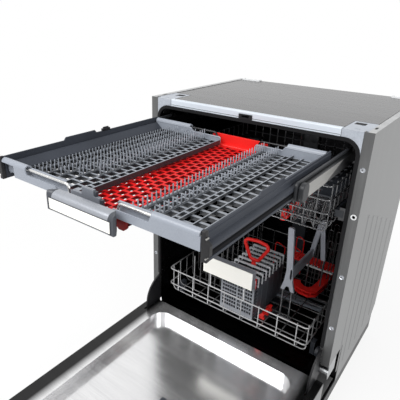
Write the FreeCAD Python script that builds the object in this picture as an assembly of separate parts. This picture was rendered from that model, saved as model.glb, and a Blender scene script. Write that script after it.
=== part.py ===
import FreeCAD, Part
import math
import os
from FreeCAD import Vector

# Built-in dishwasher in millimetres. X runs to the right, Y to the back, Z up.
# The front edge of the cabinet is y = 0, the floor is z = 0, the middle is x = 0.
# Shown with the door dropped open and the cutlery drawer pulled out.

# Clearances
overrun = 4.0
running_gap = 0.3
touch_gap = 0.1
pin_gap = 0.05

# Cabinet
cabinet_width = 598.0
cabinet_height = 818.0
cabinet_depth = 488.0
sheet = 1.0
half_width = cabinet_width / 2
panel_inside = half_width - sheet

# Side panels
flange_width = 22.0
flange_return = 12.0
top_flange_width = 15.0
panel_foot_z = 60.0
toe_height = 196.0
toe_depth = 110.0
rear_cut_height = 50.0
rear_cut_depth = 43.0
flange_hole_radius = 4.0
plug_hole_drop = 191.0
plug_hole_height = cabinet_height - plug_hole_drop
screw_drop = 81.0
screw_middle_rise = 274.0
screw_low_rise = 124.0
flange_screw_heights = (cabinet_height - screw_drop, toe_height + screw_middle_rise,
                        toe_height + screw_low_rise)
screw_head_radius = 5.0
screw_head_height = 2.0
screw_sides = 12
flange_inside = half_width - flange_width
flange_middle = half_width - flange_width / 2
top_flange_inside = half_width - top_flange_width

# Top sheet, front trim and brackets
trim_height = 18.0
trim_depth = 12.0
trim_wall = 2.0
trim_edge_radius = 3.0
bracket_width = 46.0
bracket_depth = 90.0
bracket_plate = 3.0
bracket_hole_radius = 3.0
bracket_hole_y = 55.0
bracket_slot_length = 12.0
bracket_slot_width = 4.0
bracket_slot_y = 18.0
corner_radius = 36.0
rear_bracket_margin = 16.0
rear_bracket_length = 66.0
rear_bracket_outer = half_width - rear_bracket_margin
rear_bracket_inner = rear_bracket_outer - rear_bracket_length
rear_bracket_depth = 22.0
rear_bracket_height = 4.0
trim_bottom = cabinet_height - trim_height
bracket_inside = flange_inside - bracket_width
sheet_top = cabinet_height - sheet

# Tub
tub_side_room = 31.0
tub_top_room = 10.0
tub_back_room = 16.0
tub_half_width = half_width - tub_side_room
tub_floor_z = 124.0
tub_ceiling_z = trim_bottom - tub_top_room
tub_front_y = 3.0
tub_back_y = cabinet_depth - tub_back_room
tub_sheet = 1.0
tub_corner_radius = 32.0
collar_bottom = 252.0
lip_height = 146.0
lip_fold = 7.0
apron_bottom = 106.0
track_z = 150.0
track_width = 30.0
sump_x = 0.0
sump_front_room = 232.0
sump_y = tub_front_y + sump_front_room
sump_radius = 95.0
sump_wall = 3.0
sump_sides = 16
boss_sides = 12
cap_sides = 16
sump_bottom = 60.0
sump_flange = 6.0
sump_flange_height = 4.0
sump_hole_radius = 88.0
bridge_half_width = 10.0
bridge_height = 6.0

# Door seal
seal_width = 8.0
seal_front = -2.7

# Base pan and feet
base_front = 20.0
base_back_room = 18.0
base_back = cabinet_depth - base_back_room
base_step_y = 120.0
base_bottom = 22.0
base_step_z = 60.0
base_wall = 3.0
foot_radius = 18.0
foot_pad = 10.0
foot_stem_radius = 6.0
foot_sides = 10
foot_margin = 44.0
foot_back_margin = 40.0
foot_x = half_width - foot_margin
foot_front_y = 50.0
foot_back_y = base_back - foot_back_margin

# Door hinge
pivot_y = 15.0
pivot_z = 168.0
hinge_pin_radius = 5.0
hinge_boss_radius = 10.0
ear_room = 2.5
ear_inner = tub_half_width + ear_room
ear_thickness = 5.0
ear_radius = 78.0
ear_front_clear = 1.0
ear_arm_high = 125.0
ear_arm_reach = 275.0
ear_hub_radius = 16.0
hinge_plate = 3.0
hinge_plate_depth = 55.0
hinge_plate_bottom = 145.0
hinge_plate_height = 125.0
hinge_plate_top = hinge_plate_bottom + hinge_plate_height
spring_radius = 8.0
spring_margin = 11.0
spring_x = half_width - spring_margin
spring_y = 45.0
spring_foot_length = 15.0
spring_coil_length = 185.0
spring_hook_length = 30.0
spring_low = hinge_plate_top + spring_foot_length
spring_high = spring_low + spring_coil_length
spring_hook_radius = 2.0
spring_sides = 12
spring_tab_z = spring_high + spring_hook_length
spring_tab = 4.0

# Sump parts and plumbing
filter_offset = 50.0
filter_y = sump_y - filter_offset
filter_radius = 36.0
filter_stand = 2.0
filter_top = tub_floor_z + filter_stand
filter_grip_height = 12.0
filter_grip_thickness = 6.0
pump_radius = 34.0
pump_length = 130.0
pump_z = 86.0
pump_sides = 16
pump_collar = 8.0
drain_pump_radius = 22.0
drain_pump_length = 65.0
softener_margin = 59.0
softener_width = 130.0
softener_back_margin = 30.0
softener_depth = 120.0
softener_x0 = softener_margin - half_width
softener_x1 = softener_x0 + softener_width
softener_y1 = base_back - softener_back_margin
softener_y0 = softener_y1 - softener_depth
softener_bottom = 40.0
softener_gap = 6.0
softener_top = tub_floor_z - softener_gap
salt_inset = 70.0
salt_x = softener_x0 + salt_inset
salt_y = softener_y1 - salt_inset
salt_neck_radius = 30.0
salt_neck_stand = 1.5
salt_neck_top = tub_floor_z + salt_neck_stand
salt_cap_radius = 36.0
salt_cap_height = 11.0
salt_grip_height = 8.0
valve_margin = 57.0
valve_width = 44.0
valve_depth = 40.0
valve_x1 = half_width - valve_margin
valve_x0 = valve_x1 - valve_width
valve_y0 = base_back - valve_depth
valve_z0 = 60.0
valve_z1 = 100.0
inlet_radius = 13.2
inlet_length = 16.0
pipe_half_width = 25.0
pipe_depth = 12.0
pipe_foot_gap = 0.2
pipe_foot_z = tub_floor_z + pipe_foot_gap
pipe_run_half_width = 20.0
pipe_run_height = 4.0
dock_half_width = 12.0
dock_height = 11.0

# Spray arms
arm_thickness = 9.0
arm_hub_radius = 24.0
arm_root_width = 40.0
arm_tip_width = 24.0
arm_stub_radius = 10.0
arm_flange_radius = 14.0
arm_flange_height = 3.5
lower_arm_offset = 30.0
lower_arm_y = sump_y + lower_arm_offset
lower_arm_z = 160.3
lower_arm_room = 78.0
lower_arm_reach = tub_half_width - lower_arm_room
column_radius = 14.0
upper_arm_offset = 5.0
upper_arm_room = 73.0
ceiling_arm_offset = 15.0
upper_arm_y = sump_y + upper_arm_offset
upper_arm_reach = tub_half_width - upper_arm_room
ceiling_arm_y = sump_y + ceiling_arm_offset
ceiling_arm_reach = 88.0
ceiling_arm_thickness = 6.0
ceiling_stub_radius = 8.0
ceiling_flange_height = 2.0

# Door
door_side_gap = 2.0
door_top_gap = 6.0
door_half_width = half_width - door_side_gap
door_outer_z = 92.0
door_top_y = pivot_y + pivot_z + door_top_gap - cabinet_height
door_skirt_y = 83.0
door_foot_y = -9.0
liner_z = 150.0
liner_end_margin = 29.0
dish_side_margin = 63.9
dish_end_margin = 8.0
liner_half_width = door_half_width - sheet - touch_gap
liner_end_y = door_top_y + liner_end_margin
dish_half_width = liner_half_width - dish_side_margin
dish_front_y = liner_end_y + dish_end_margin
dish_back_y = -45.0
dish_z = 120.0
dish_corner_radius = 40.0
ear_notch_y = -75.0
ear_notch_gap = 1.0
strip_z = 94.0
button_places = (-60.0, 0.0, 60.0)
button_half_width = 9.0
button_height = 14.0
button_z = 119.0
button_depth = 11.0
button_stand = 1.0
button_travel = 1.5
pocket_spare = 1.0
latch_half_width = 8.0
latch_margin = 4.0
latch_thickness = 3.0
latch_y0 = door_top_y + latch_margin
latch_y1 = latch_y0 + latch_thickness
latch_reach = 17.0
striker_half_width = 18.0
striker_plate = 2.5
striker_rise = 12.0
striker_neck_half_width = 13.5
striker_neck_rise = 2.5
striker_neck_height = 8.0
striker_neck_low = trim_bottom + striker_neck_rise
striker_neck_high = striker_neck_low + striker_neck_height
striker_neck_depth = 22.0
striker_mouth_half_width = 10.0
striker_mouth_rise = 3.6
striker_mouth_height = 5.4
striker_mouth_low = trim_bottom + striker_mouth_rise
striker_mouth_high = striker_mouth_low + striker_mouth_height
striker_mouth_depth = 19.0
dispenser_x0 = -20.0
dispenser_x1 = 140.0
dispenser_top_margin = 229.0
dispenser_length = 115.0
dispenser_y0 = door_top_y + dispenser_top_margin
dispenser_y1 = dispenser_y0 + dispenser_length
dispenser_bottom = 96.0
dispenser_rim = 3.0
dispenser_cup_depth = 18.0
lid_margin = 6.0
lid_width = 72.0
lid_end_margin = 15.0
lid_x1 = dispenser_x1 - lid_margin
lid_x0 = lid_x1 - lid_width
lid_y0 = dispenser_y0 + lid_margin
lid_y1 = dispenser_y1 - lid_end_margin
lid_thickness = 3.0
guide_width = 4.0
lid_ridge_margin = 16.0
guide_lip = 1.5
rinse_inset_x = 40.0
rinse_inset_y = 60.0
rinse_x = dispenser_x0 + rinse_inset_x
rinse_y = dispenser_y0 + rinse_inset_y
rinse_radius = 18.0
rinse_height = 4.0
rinse_grip_height = 3.0

# Cutlery drawer
drawer_end_gap = 52.0
drawer_back_room = 19.0
drawer_side_room = 38.0
drawer_drop = 29.0
wire_dip = 29.0
front_wire_inset = 8.0
back_wire_inset = 5.0
side_back_y = -drawer_end_gap
side_front_y = side_back_y + drawer_back_room - tub_back_y
front_wire_y = side_front_y + front_wire_inset
back_wire_y = side_back_y - back_wire_inset
wire_high_z = trim_bottom - drawer_drop
wire_low_z = wire_high_z - wire_dip
cross_wire_radius = 2.5
dip_left = -42.0
dip_right = 72.0
side_inner = tub_half_width - drawer_side_room
side_wall = 3.0
side_below = 35.0
side_height = 44.0
side_bottom = wire_high_z - side_below
side_top = side_bottom + side_height
side_raise = 6.0
raise_inset = 153.0
raise_length = 80.0
raise_front_y = side_front_y + raise_inset
raise_back_y = raise_front_y + raise_length
raise_slope = 5.0
side_lip_width = 6.0
side_lip_height = 4.0
runner_rise = 9.0
runner_height = 17.0
runner_reach = 13.0
middle_rail_width = 14.7
middle_rail_rise = 5.0
middle_rail_height = 25.0
middle_rail_room = 43.0
rail_overlap = 6.3
runner_bottom = side_bottom + runner_rise
runner_top = runner_bottom + runner_height
rail_step = side_inner + runner_reach
middle_rail_back = rail_step + middle_rail_width
middle_rail_bottom = side_bottom + middle_rail_rise
middle_rail_top = middle_rail_bottom + middle_rail_height
middle_rail_front_y = -222.0
middle_rail_length = tub_back_y - middle_rail_room
outer_rail_inner = rail_step + rail_overlap
outer_rail_lip = 4.0
outer_rail_bevel = 12.0
outer_rail_bevel_width = 3.5
outer_rail_front_y = 40.0
outer_rail_back_room = 14.0
outer_rail_back_y = tub_back_y - outer_rail_back_room
hook_inner_radius = 5.0
hook_outer_radius = 7.5
hook_lip = 8.0
tray_drop = 22.0
tray_side_gap = 2.0
tray_floor_z = wire_high_z - tray_drop
tray_floor_thickness = 2.5
tray_edge_width = 4.0
tray_edge_height = 6.0
tray_low_wall = 9.0
curve_width = 14.0
left_tray_x0 = tray_side_gap - side_inner
left_tray_x1 = -28.0
left_hook_front_length = 73.0
left_hook_back_length = 109.0
left_apron_inset = 38.0
left_curve_inset = 34.0
left_hook_front_x1 = left_tray_x0 + left_hook_front_length
left_hook_back_x1 = left_tray_x0 + left_hook_back_length
left_apron_x0 = left_tray_x0 + left_apron_inset
left_curve_x = left_tray_x1 - left_curve_inset
right_tray_x0 = 84.0
right_tray_x1 = side_inner - tray_side_gap
right_wall_x0 = 66.5
right_hook_inset = 2.0
right_hook_length = 84.0
right_hook_x1 = right_tray_x1 - right_hook_inset
right_hook_x0 = right_hook_x1 - right_hook_length
right_apron_x0 = 66.5
left_slot_columns = 5
right_slot_columns = 4
red_slot_columns = 4
side_slot_rows = 5
red_slot_rows = 6
slot_bar = 5.0
comb_thickness = 2.0
comb_base = 3.0
comb_pitch = 70.0
comb_tooth = 4.0
low_comb_height = 13.0
tall_comb_height = 19.0
left_comb_count = 6
left_comb_margin = 28.0
left_comb_inner_margin = 22.0
right_comb_low_inset = 40.0
right_comb_tall_inset = 6.0
right_comb_low_x = right_tray_x0 + right_comb_low_inset
right_comb_tall_x = right_tray_x0 + right_comb_tall_inset
red_x0 = -60.0
red_x1 = 88.0
red_drop = 36.0
red_floor_z = wire_high_z - red_drop
red_wall = 2.5
red_front_inset = 3.0
red_back_reach = 6.5
red_rim_height = 10.0
red_back_height = 33.0
red_front_y = front_wire_y + red_front_inset
red_back_y = side_back_y + red_back_reach
red_rim_z = red_floor_z + red_rim_height
red_back_rim_z = red_floor_z + red_back_height
red_lug_x0 = -20.0
red_lug_x1 = 48.0
red_lug_height = 2.0
handle_x0 = -60.0
handle_x1 = 94.0
handle_reach = 25.0
handle_depth = 18.5
handle_drop = 4.0
handle_round = 10.0
handle_height = 33.0
handle_front_y = side_front_y - handle_reach
handle_back_y = handle_front_y + handle_depth
handle_top_z = wire_high_z - handle_drop
handle_shoulder_z = handle_top_z - handle_round
handle_bottom_z = handle_top_z - handle_height
handle_wall = 2.5
handle_arm_x0 = -30.0
handle_arm_x1 = 60.0
handle_arm_thickness = 4.0
handle_arm_low = red_floor_z
handle_arm_high = handle_arm_low + handle_arm_thickness
plate_thickness = 1.2
plate_margin = 7.0
plate_low_margin = 3.5
plate_high_margin = 1.0
plate_low_z = handle_bottom_z + plate_low_margin
plate_high_z = handle_shoulder_z - plate_high_margin

# Racks
rack_wire = 4.0
upright_lift = 6.0
rack_end_margin = 16.0
rack_side_margin = 32.0
hex_sides = 6
upper_side_room = 37.0
upper_half_width = tub_half_width - upper_side_room
upper_front_y = 8.0
upper_back_room = 26.0
upper_floor_drop = 258.0
upper_rim_low = 52.0
upper_rim_high = 120.0
upper_back_y = tub_back_y - upper_back_room
upper_floor_z = cabinet_height - upper_floor_drop
upper_levels = (upper_floor_z + upper_rim_low, upper_floor_z + upper_rim_high)
upper_cross_count = 8
upper_long_count = 9
upper_duct_half_width = 14.0
upper_duct_height = 13.0
upper_duct_back_room = 20.0
upper_duct_back_y = tub_back_y - upper_duct_back_room
slider_depth = 20.0
slider_rise = 37.3
slider_height = 17.4
slider_bottom = upper_floor_z + slider_rise
slider_top = slider_bottom + slider_height
rail_lip = 7.0
upper_rail_front_y = 45.0
upper_rail_back_room = 17.0
upper_rail_back_y = tub_back_y - upper_rail_back_room
shelf_width = 70.0
shelf_front_y = 45.0
shelf_end_margin = 31.0
shelf_rise = 80.0
shelf_back_y = upper_back_y - shelf_end_margin
shelf_z = upper_floor_z + shelf_rise
shelf_thickness = 4.0
knuckle_radius = 3.0
knuckle_sides = 8
shelf_slot_pitch = 37.0
shelf_slot_width = 20.0
clip_width = 8.0
clip_length = 14.0
clip_height = 16.0
clip_pitch = 44.0
clip_count = 6
clip_start_y = 30.0
tine_height = 85.0
upper_tine_height = 60.0

lower_side_room = 36.0
lower_half_width = tub_half_width - lower_side_room
lower_front_y = 2.0
lower_back_room = 22.0
lower_back_y = tub_back_y - lower_back_room
lower_floor_z = 200.0
lower_rim_low = 30.0
lower_rim_high = 84.0
lower_levels = (lower_floor_z + lower_rim_low, lower_floor_z + lower_rim_high)
lower_cross_count = 9
lower_long_count = 8
wheel_radius = 16.0
wheel_sides = 16
wheel_width = 12.0
wheel_front_y = 75.0
wheel_end_margin = 55.0
wheel_back_y = lower_back_y - wheel_end_margin
axle_radius = 4.0
carrier_depth = 20.0
carrier_width = 12.0
carrier_reach = 5.0
carrier_face_x = lower_half_width + carrier_reach
wheel_face_gap = 2.0
grip_x0 = -101.0
grip_x1 = 61.0
grip_front_y = -1.0
grip_depth = 18.0
grip_rise = 46.0
grip_height = 54.0
grip_bottom = lower_floor_z + lower_rim_high + grip_rise
grip_top = grip_bottom + grip_height
grip_wall = 4.0
grip_plate_thickness = 2.0
grip_post_inset = 24.0
basket_margin = 174.0
basket_width = 110.0
basket_length = 190.0
basket_lift = 6.2
basket_height = 138.8
basket_x1 = lower_half_width - basket_margin
basket_x0 = basket_x1 - basket_width
basket_y0 = 24.0
basket_y1 = basket_y0 + basket_length
basket_bottom = lower_floor_z + basket_lift
basket_top = basket_bottom + basket_height
basket_wall = 2.5
basket_window = 28.0
basket_bar = 5.0
basket_rib = 2.5
basket_rib_pitch = 24.0
loop_half_width = 42.0
loop_foot_half_width = 7.0
loop_thickness = 10.0
loop_bar = 9.0
loop_rise = 67.0
loop_inset = 95.0
loop_top = basket_top + loop_rise
loop_corner = 8.0
loop_y = basket_y0 + loop_inset
holder_thickness = 8.0
holder_y = 92.0
holder_drop = 54.0
holder_rise = 107.0
holder_margin = 106.0
holder_lean = 11.0
holder_half_top = 7.0
holder_half_neck = 9.5
holder_half_foot = 21.0
holder_neck_rise = 66.0
holder_notch = 9.0
holder_notch_top = 4.0
holder_notch_height = 14.0
holder_stem = 5.0
holder_spacing = 148.0
holder_fork_offset = 23.0
holder_fork_half_foot = 27.0
holder_leg = 12.0
holder_fork_rise = 45.0
holder_fork_drop = 14.0
holder_beam_x = 6.0
holder_beam_low = 40.0
holder_beam_height = 34.0
holder_bar_height = 8.0
holder_bar_left = 20.5
holder_bar_right = 21.0
holder_fork_bar_right = 56.0
holder_top = upper_floor_z - holder_drop
holder_foot_z = lower_floor_z + holder_rise
holder_post_x = lower_half_width - holder_margin
holder_fork_x = holder_post_x + holder_fork_offset


def block(x0, x1, y0, y1, z0, z1):
    """Box between two corners."""
    return Part.makeBox(x1 - x0, y1 - y0, z1 - z0, Vector(x0, y0, z0))


def place(plane, first, second, level):
    """Point of an outline drawn across the named axis."""
    if plane == "x":
        return Vector(level, first, second)
    if plane == "y":
        return Vector(first, level, second)
    return Vector(first, second, level)


def outline_solid(plane, start, steps, low, high):
    """Solid between two levels from lines (one point) and arcs (two points)."""
    edges = []
    here = start
    for step in list(steps) + [(start,)]:
        begin = place(plane, *here, low)
        end = place(plane, *step[-1], low)
        if len(step) == 2:
            middle = place(plane, *step[0], low)
            edges.append(Part.Arc(begin, middle, end).toShape())
        elif begin.distanceToPoint(end) > 0:
            edges.append(Part.LineSegment(begin, end).toShape())
        here = step[-1]
    travel = place(plane, 0, 0, high - low)
    return Part.Face(Part.Wire(edges)).extrude(travel)


def polygon_solid(plane, points, low, high):
    """Solid between two levels from a straight-sided outline."""
    return outline_solid(plane, points[0], [(point,) for point in points[1:]], low, high)


def round_x(x0, x1, y, z, radius):
    return Part.makeCylinder(radius, x1 - x0, Vector(x0, y, z), Vector(1, 0, 0))


def round_y(y0, y1, x, z, radius):
    return Part.makeCylinder(radius, y1 - y0, Vector(x, y0, z), Vector(0, 1, 0))


def round_z(z0, z1, x, y, radius):
    return Part.makeCylinder(radius, z1 - z0, Vector(x, y, z0), Vector(0, 0, 1))


def sided(plane, first, second, radius, sides, low, high):
    """Upright prism with many equal sides."""
    points = []
    for step in range(sides):
        turn = 2 * math.pi * step / sides
        points.append((first + radius * math.cos(turn), second + radius * math.sin(turn)))
    return polygon_solid(plane, points, low, high)


def joined(shapes):
    """One solid from pieces that overlap or share faces."""
    return shapes[0].multiFuse(shapes[1:]).removeSplitter()


def mirrored(shape):
    return shape.mirror(Vector(0, 0, 0), Vector(1, 0, 0))


def both_sides(shape):
    return Part.makeCompound([mirrored(shape), shape])


def spread(first, last, count):
    """Evenly spaced places from first to last."""
    return [first + (last - first) * step / (count - 1) for step in range(count)]


def hex_rod(start, end, width):
    """Six-sided wire, flat above and below, or flat to front and back when upright."""
    direction = end.sub(start).normalize()
    upright = abs(direction.z) > max(abs(direction.x), abs(direction.y))
    above = Vector(0, 1, 0) if upright else Vector(0, 0, 1)
    side = direction.cross(above).normalize()
    above = side.cross(direction)
    corner = width / math.sqrt(3)
    points = []
    for step in range(hex_sides):
        turn = 2 * math.pi * step / hex_sides
        points.append(start + side * (corner * math.cos(turn)) + above * (corner * math.sin(turn)))
    face = Part.Face(Part.makePolygon(points + points[:1]))
    return face.extrude(end.sub(start))


def rectangle(x0, x1, y0, y1, z):
    corners = [Vector(x0, y0, z), Vector(x1, y0, z), Vector(x1, y1, z), Vector(x0, y1, z)]
    return Part.makePolygon(corners + corners[:1])


def slotted_floor(x0, x1, y0, y1, z, thickness, columns, rows, bar):
    """Flat floor with rows of rectangular slots between bars."""
    step_x = (x1 - x0 - bar) / columns
    step_y = (y1 - y0 - bar) / rows
    wires = [rectangle(x0, x1, y0, y1, z)]
    for column in range(columns):
        left = x0 + bar + column * step_x
        for row in range(rows):
            near = y0 + bar + row * step_y
            wires.append(rectangle(left, left + step_x - bar, near, near + step_y - bar, z))
    return Part.makeFace(wires, "Part::FaceMakerBullseye").extrude(Vector(0, 0, thickness))


def comb(x, y0, y1, z, height):
    """Upright strip with a row of teeth along the depth."""
    count = int((y1 - y0 - comb_tooth) // comb_pitch) + 1
    points = [(y0, z)]
    for tooth in range(count):
        near = y0 + tooth * comb_pitch
        points.append((near, z + height))
        points.append((near + comb_tooth, z + height))
        if tooth < count - 1:
            points.append((near + comb_tooth, z + comb_base))
            points.append((near + comb_pitch, z + comb_base))
    points.append((y0 + (count - 1) * comb_pitch + comb_tooth, z))
    return polygon_solid("x", points, x - comb_thickness / 2, x + comb_thickness / 2)


def side_panels():
    """Folded sheet with a front flange, a top flange and a back flange."""
    outline = [(0, toe_height), (0, cabinet_height), (cabinet_depth, cabinet_height),
               (cabinet_depth, panel_foot_z + rear_cut_height),
               (cabinet_depth - rear_cut_depth, panel_foot_z), (toe_depth, panel_foot_z),
               (toe_depth, toe_height)]
    wall = polygon_solid("x", outline, panel_inside, half_width)
    front = block(flange_inside, half_width, 0, sheet, toe_height, cabinet_height)
    fold = block(flange_inside, flange_inside + sheet, 0, flange_return, toe_height, cabinet_height)
    top = block(top_flange_inside, half_width, 0, cabinet_depth, sheet_top, cabinet_height)
    back = block(top_flange_inside, half_width, cabinet_depth - sheet, cabinet_depth,
                 panel_foot_z + rear_cut_height, cabinet_height)
    panel = joined([wall, front, fold, top, back])
    hole = round_y(-overrun, sheet + overrun, flange_middle, plug_hole_height, flange_hole_radius)
    return both_sides(panel.cut(hole))


def flange_screws():
    """Heads of the screws in the front flanges."""
    heads = []
    for x in (-flange_middle, flange_middle):
        for height in flange_screw_heights:
            heads.append(sided("y", x, height, screw_head_radius, screw_sides, -screw_head_height, 0))
    return Part.makeCompound(heads)


def top_sheet():
    """Flat cover with both front corners notched for the brackets."""
    cover = block(-panel_inside, panel_inside, trim_wall, cabinet_depth - sheet, sheet_top - sheet, sheet_top)
    notch = block(bracket_inside, panel_inside + overrun, -overrun, bracket_depth,
                  sheet_top - sheet - overrun, sheet_top + overrun)
    return cover.cut([notch, mirrored(notch)])


def front_trim():
    """Angle strip along the top of the opening, with a window for the striker."""
    bulge = trim_edge_radius * (1 - math.sqrt(0.5))
    steps = [((0, cabinet_height - trim_edge_radius),),
             ((bulge, cabinet_height - bulge), (trim_edge_radius, cabinet_height)),
             ((trim_depth, cabinet_height),), ((trim_depth, sheet_top),),
             ((trim_wall, sheet_top),), ((trim_wall, trim_bottom),)]
    reach = bracket_inside - touch_gap
    strip = outline_solid("x", (0, trim_bottom), steps, -reach, reach)
    window = block(-striker_neck_half_width - touch_gap, striker_neck_half_width + touch_gap,
                   -overrun, trim_wall + overrun, striker_neck_low - touch_gap, striker_neck_high + touch_gap)
    return strip.cut(window)


def corner_brackets():
    """Plastic corner pieces with the round corner of the opening."""
    centre_x = flange_inside - corner_radius
    centre_z = trim_bottom - corner_radius
    slant = corner_radius * math.sqrt(0.5)
    steps = [((flange_inside, sheet_top),), ((flange_inside, centre_z),),
             ((centre_x + slant, centre_z + slant), (centre_x, trim_bottom)),
             ((bracket_inside, trim_bottom),)]
    face = outline_solid("y", (bracket_inside, sheet_top), steps, 0, bracket_plate)
    plate = block(bracket_inside, top_flange_inside - touch_gap, sheet, bracket_depth,
                  sheet_top - bracket_plate, sheet_top)
    fold_slot = block(flange_inside, top_flange_inside, -overrun, flange_return + touch_gap,
                      sheet_top - bracket_plate - overrun, sheet_top + overrun)
    middle = (bracket_inside + top_flange_inside) / 2
    hole = round_z(sheet_top - bracket_plate - overrun, sheet_top + overrun, middle,
                   bracket_hole_y, bracket_hole_radius)
    slot = block(middle - bracket_slot_length / 2, middle + bracket_slot_length / 2,
                 bracket_slot_y - bracket_slot_width / 2, bracket_slot_y + bracket_slot_width / 2,
                 sheet_top - bracket_plate - overrun, sheet_top + overrun)
    return both_sides(joined([face, plate]).cut([fold_slot, hole, slot]))


def rear_brackets():
    """White plastic stops on the back corners of the top sheet."""
    stop = block(rear_bracket_inner, rear_bracket_outer, cabinet_depth - rear_bracket_depth,
                 cabinet_depth - sheet, sheet_top, sheet_top + rear_bracket_height)
    recess = block(rear_bracket_inner + rear_bracket_height, rear_bracket_outer - rear_bracket_height,
                   cabinet_depth - rear_bracket_depth + rear_bracket_height, cabinet_depth + overrun,
                   sheet_top + rear_bracket_height / 2, sheet_top + rear_bracket_height + overrun)
    return both_sides(stop.cut(recess))


def back_panel():
    return block(-top_flange_inside, top_flange_inside, cabinet_depth - 2 * sheet, cabinet_depth - sheet,
                 tub_floor_z, sheet_top - sheet)


def rounded_run(half, y0, y1, z0, z1, radius):
    """Long box with its four edges along the depth rounded."""
    slant = radius * (1 - math.sqrt(0.5))
    steps = [((half - radius, z0),), ((half - slant, z0 + slant), (half, z0 + radius)),
             ((half, z1 - radius),), ((half - slant, z1 - slant), (half - radius, z1)),
             ((radius - half, z1),), ((slant - half, z1 - slant), (-half, z1 - radius)),
             ((-half, z0 + radius),), ((slant - half, z0 + slant), (radius - half, z0))]
    return outline_solid("y", (radius - half, z0), steps, y0, y1)


def tub():
    """Stainless box open to the front, with collar, front lip, wheel ledges and floor holes."""
    skin = rounded_run(tub_half_width + tub_sheet, tub_front_y, tub_back_y + tub_sheet,
                       tub_floor_z - tub_sheet, tub_ceiling_z + tub_sheet, tub_corner_radius + tub_sheet)
    room = rounded_run(tub_half_width, tub_front_y - overrun, tub_back_y, tub_floor_z, tub_ceiling_z,
                       tub_corner_radius)
    collar = block(touch_gap - flange_inside, flange_inside - touch_gap, tub_front_y, tub_front_y + tub_sheet,
                   collar_bottom, trim_bottom - touch_gap)
    apron = block(-tub_half_width, tub_half_width, tub_front_y, tub_front_y + tub_sheet, apron_bottom,
                  lip_height)
    fold = block(-tub_half_width, tub_half_width, tub_front_y, tub_front_y + lip_fold,
                 lip_height - tub_sheet, lip_height)
    ledge = block(tub_half_width - track_width, tub_half_width, tub_front_y, tub_back_y,
                  track_z - tub_sheet, track_z)
    riser = block(tub_half_width - track_width, tub_half_width - track_width + tub_sheet,
                  tub_front_y, tub_back_y, tub_floor_z, track_z)
    shell = joined([skin, collar]).cut(room)
    shell = joined([shell, apron, fold, ledge, riser, mirrored(ledge), mirrored(riser)])
    sump_hole = sided("z", sump_x, sump_y, sump_hole_radius, sump_sides, tub_floor_z - tub_sheet - overrun,
                      tub_floor_z + overrun)
    salt_hole = round_z(tub_floor_z - tub_sheet - overrun, tub_floor_z + overrun, salt_x, salt_y,
                        salt_neck_radius + touch_gap)
    return shell.cut([sump_hole, salt_hole])


def door_seal():
    """Rubber strip round the sides and top of the opening."""
    outer_half = flange_inside - touch_gap
    outer_top = trim_bottom - touch_gap
    outer = rounded_run(outer_half, seal_front, tub_front_y, collar_bottom - corner_radius,
                        outer_top, corner_radius)
    inner = rounded_run(outer_half - seal_width, seal_front - overrun, tub_front_y + overrun,
                        collar_bottom - corner_radius - overrun, outer_top - seal_width,
                        corner_radius - seal_width)
    foot = block(-half_width, half_width, seal_front - overrun, tub_front_y + overrun,
                 collar_bottom - 2 * corner_radius, collar_bottom)
    bracket = corner_brackets()
    return outer.cut([inner, foot]).cut(bracket)


def latch_striker():
    """Black catch in the front trim that the door's hook enters."""
    plate = block(-striker_half_width, striker_half_width, -striker_plate, 0, trim_bottom,
                  trim_bottom + striker_rise)
    neck = block(-striker_neck_half_width, striker_neck_half_width, 0, striker_neck_depth,
                 striker_neck_low, striker_neck_high)
    mouth = block(-striker_mouth_half_width, striker_mouth_half_width, -striker_plate - overrun,
                  striker_mouth_depth, striker_mouth_low, striker_mouth_high)
    return joined([plate, neck]).cut(mouth)


def base_pan():
    """Plastic drip pan with a low front and upright walls under the tub."""
    reach = panel_inside - touch_gap
    low = block(-reach, reach, base_front, base_back, base_bottom, base_step_z)
    high = block(-reach, reach, base_step_y, base_back, base_step_z, tub_floor_z - tub_sheet)
    low_room = block(base_wall - reach, reach - base_wall, base_front + base_wall, base_back - base_wall,
                     base_bottom + base_wall, base_step_z + overrun)
    high_room = block(base_wall - reach, reach - base_wall, base_step_y + base_wall, base_back - base_wall,
                      base_step_z - overrun, tub_floor_z + overrun)
    inlet_hole = round_y(base_back - base_wall - overrun, base_back + overrun, (valve_x0 + valve_x1) / 2,
                         (valve_z0 + valve_z1) / 2, inlet_radius + touch_gap)
    return joined([low, high]).cut([low_room, high_room, inlet_hole])


def feet():
    """Levelling feet: a round pad on a threaded stem."""
    solids = []
    for x in (-foot_x, foot_x):
        for y in (foot_front_y, foot_back_y):
            pad = sided("z", x, y, foot_radius, foot_sides, 0, foot_pad)
            stem = sided("z", x, y, foot_stem_radius, foot_sides, foot_pad, base_bottom)
            solids.append(joined([pad, stem]))
    return Part.makeCompound(solids)


def hinge_brackets():
    """Steel brackets on the side panels, each with the door's pivot pin."""
    ear_outer = ear_inner + ear_thickness
    plate = block(panel_inside - hinge_plate, panel_inside, flange_return + sheet,
                  flange_return + hinge_plate_depth,
                  hinge_plate_bottom, hinge_plate_top)
    shelf = block(ear_outer + ear_notch_gap, panel_inside, flange_return + sheet,
                  flange_return + hinge_plate_depth, hinge_plate_top - hinge_plate, hinge_plate_top)
    boss = sided("x", pivot_y, pivot_z, hinge_boss_radius, boss_sides, ear_outer + running_gap, panel_inside)
    pin = round_x(ear_inner - running_gap, panel_inside, pivot_y, pivot_z, hinge_pin_radius)
    return both_sides(joined([plate, shelf, boss, pin]))


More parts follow.
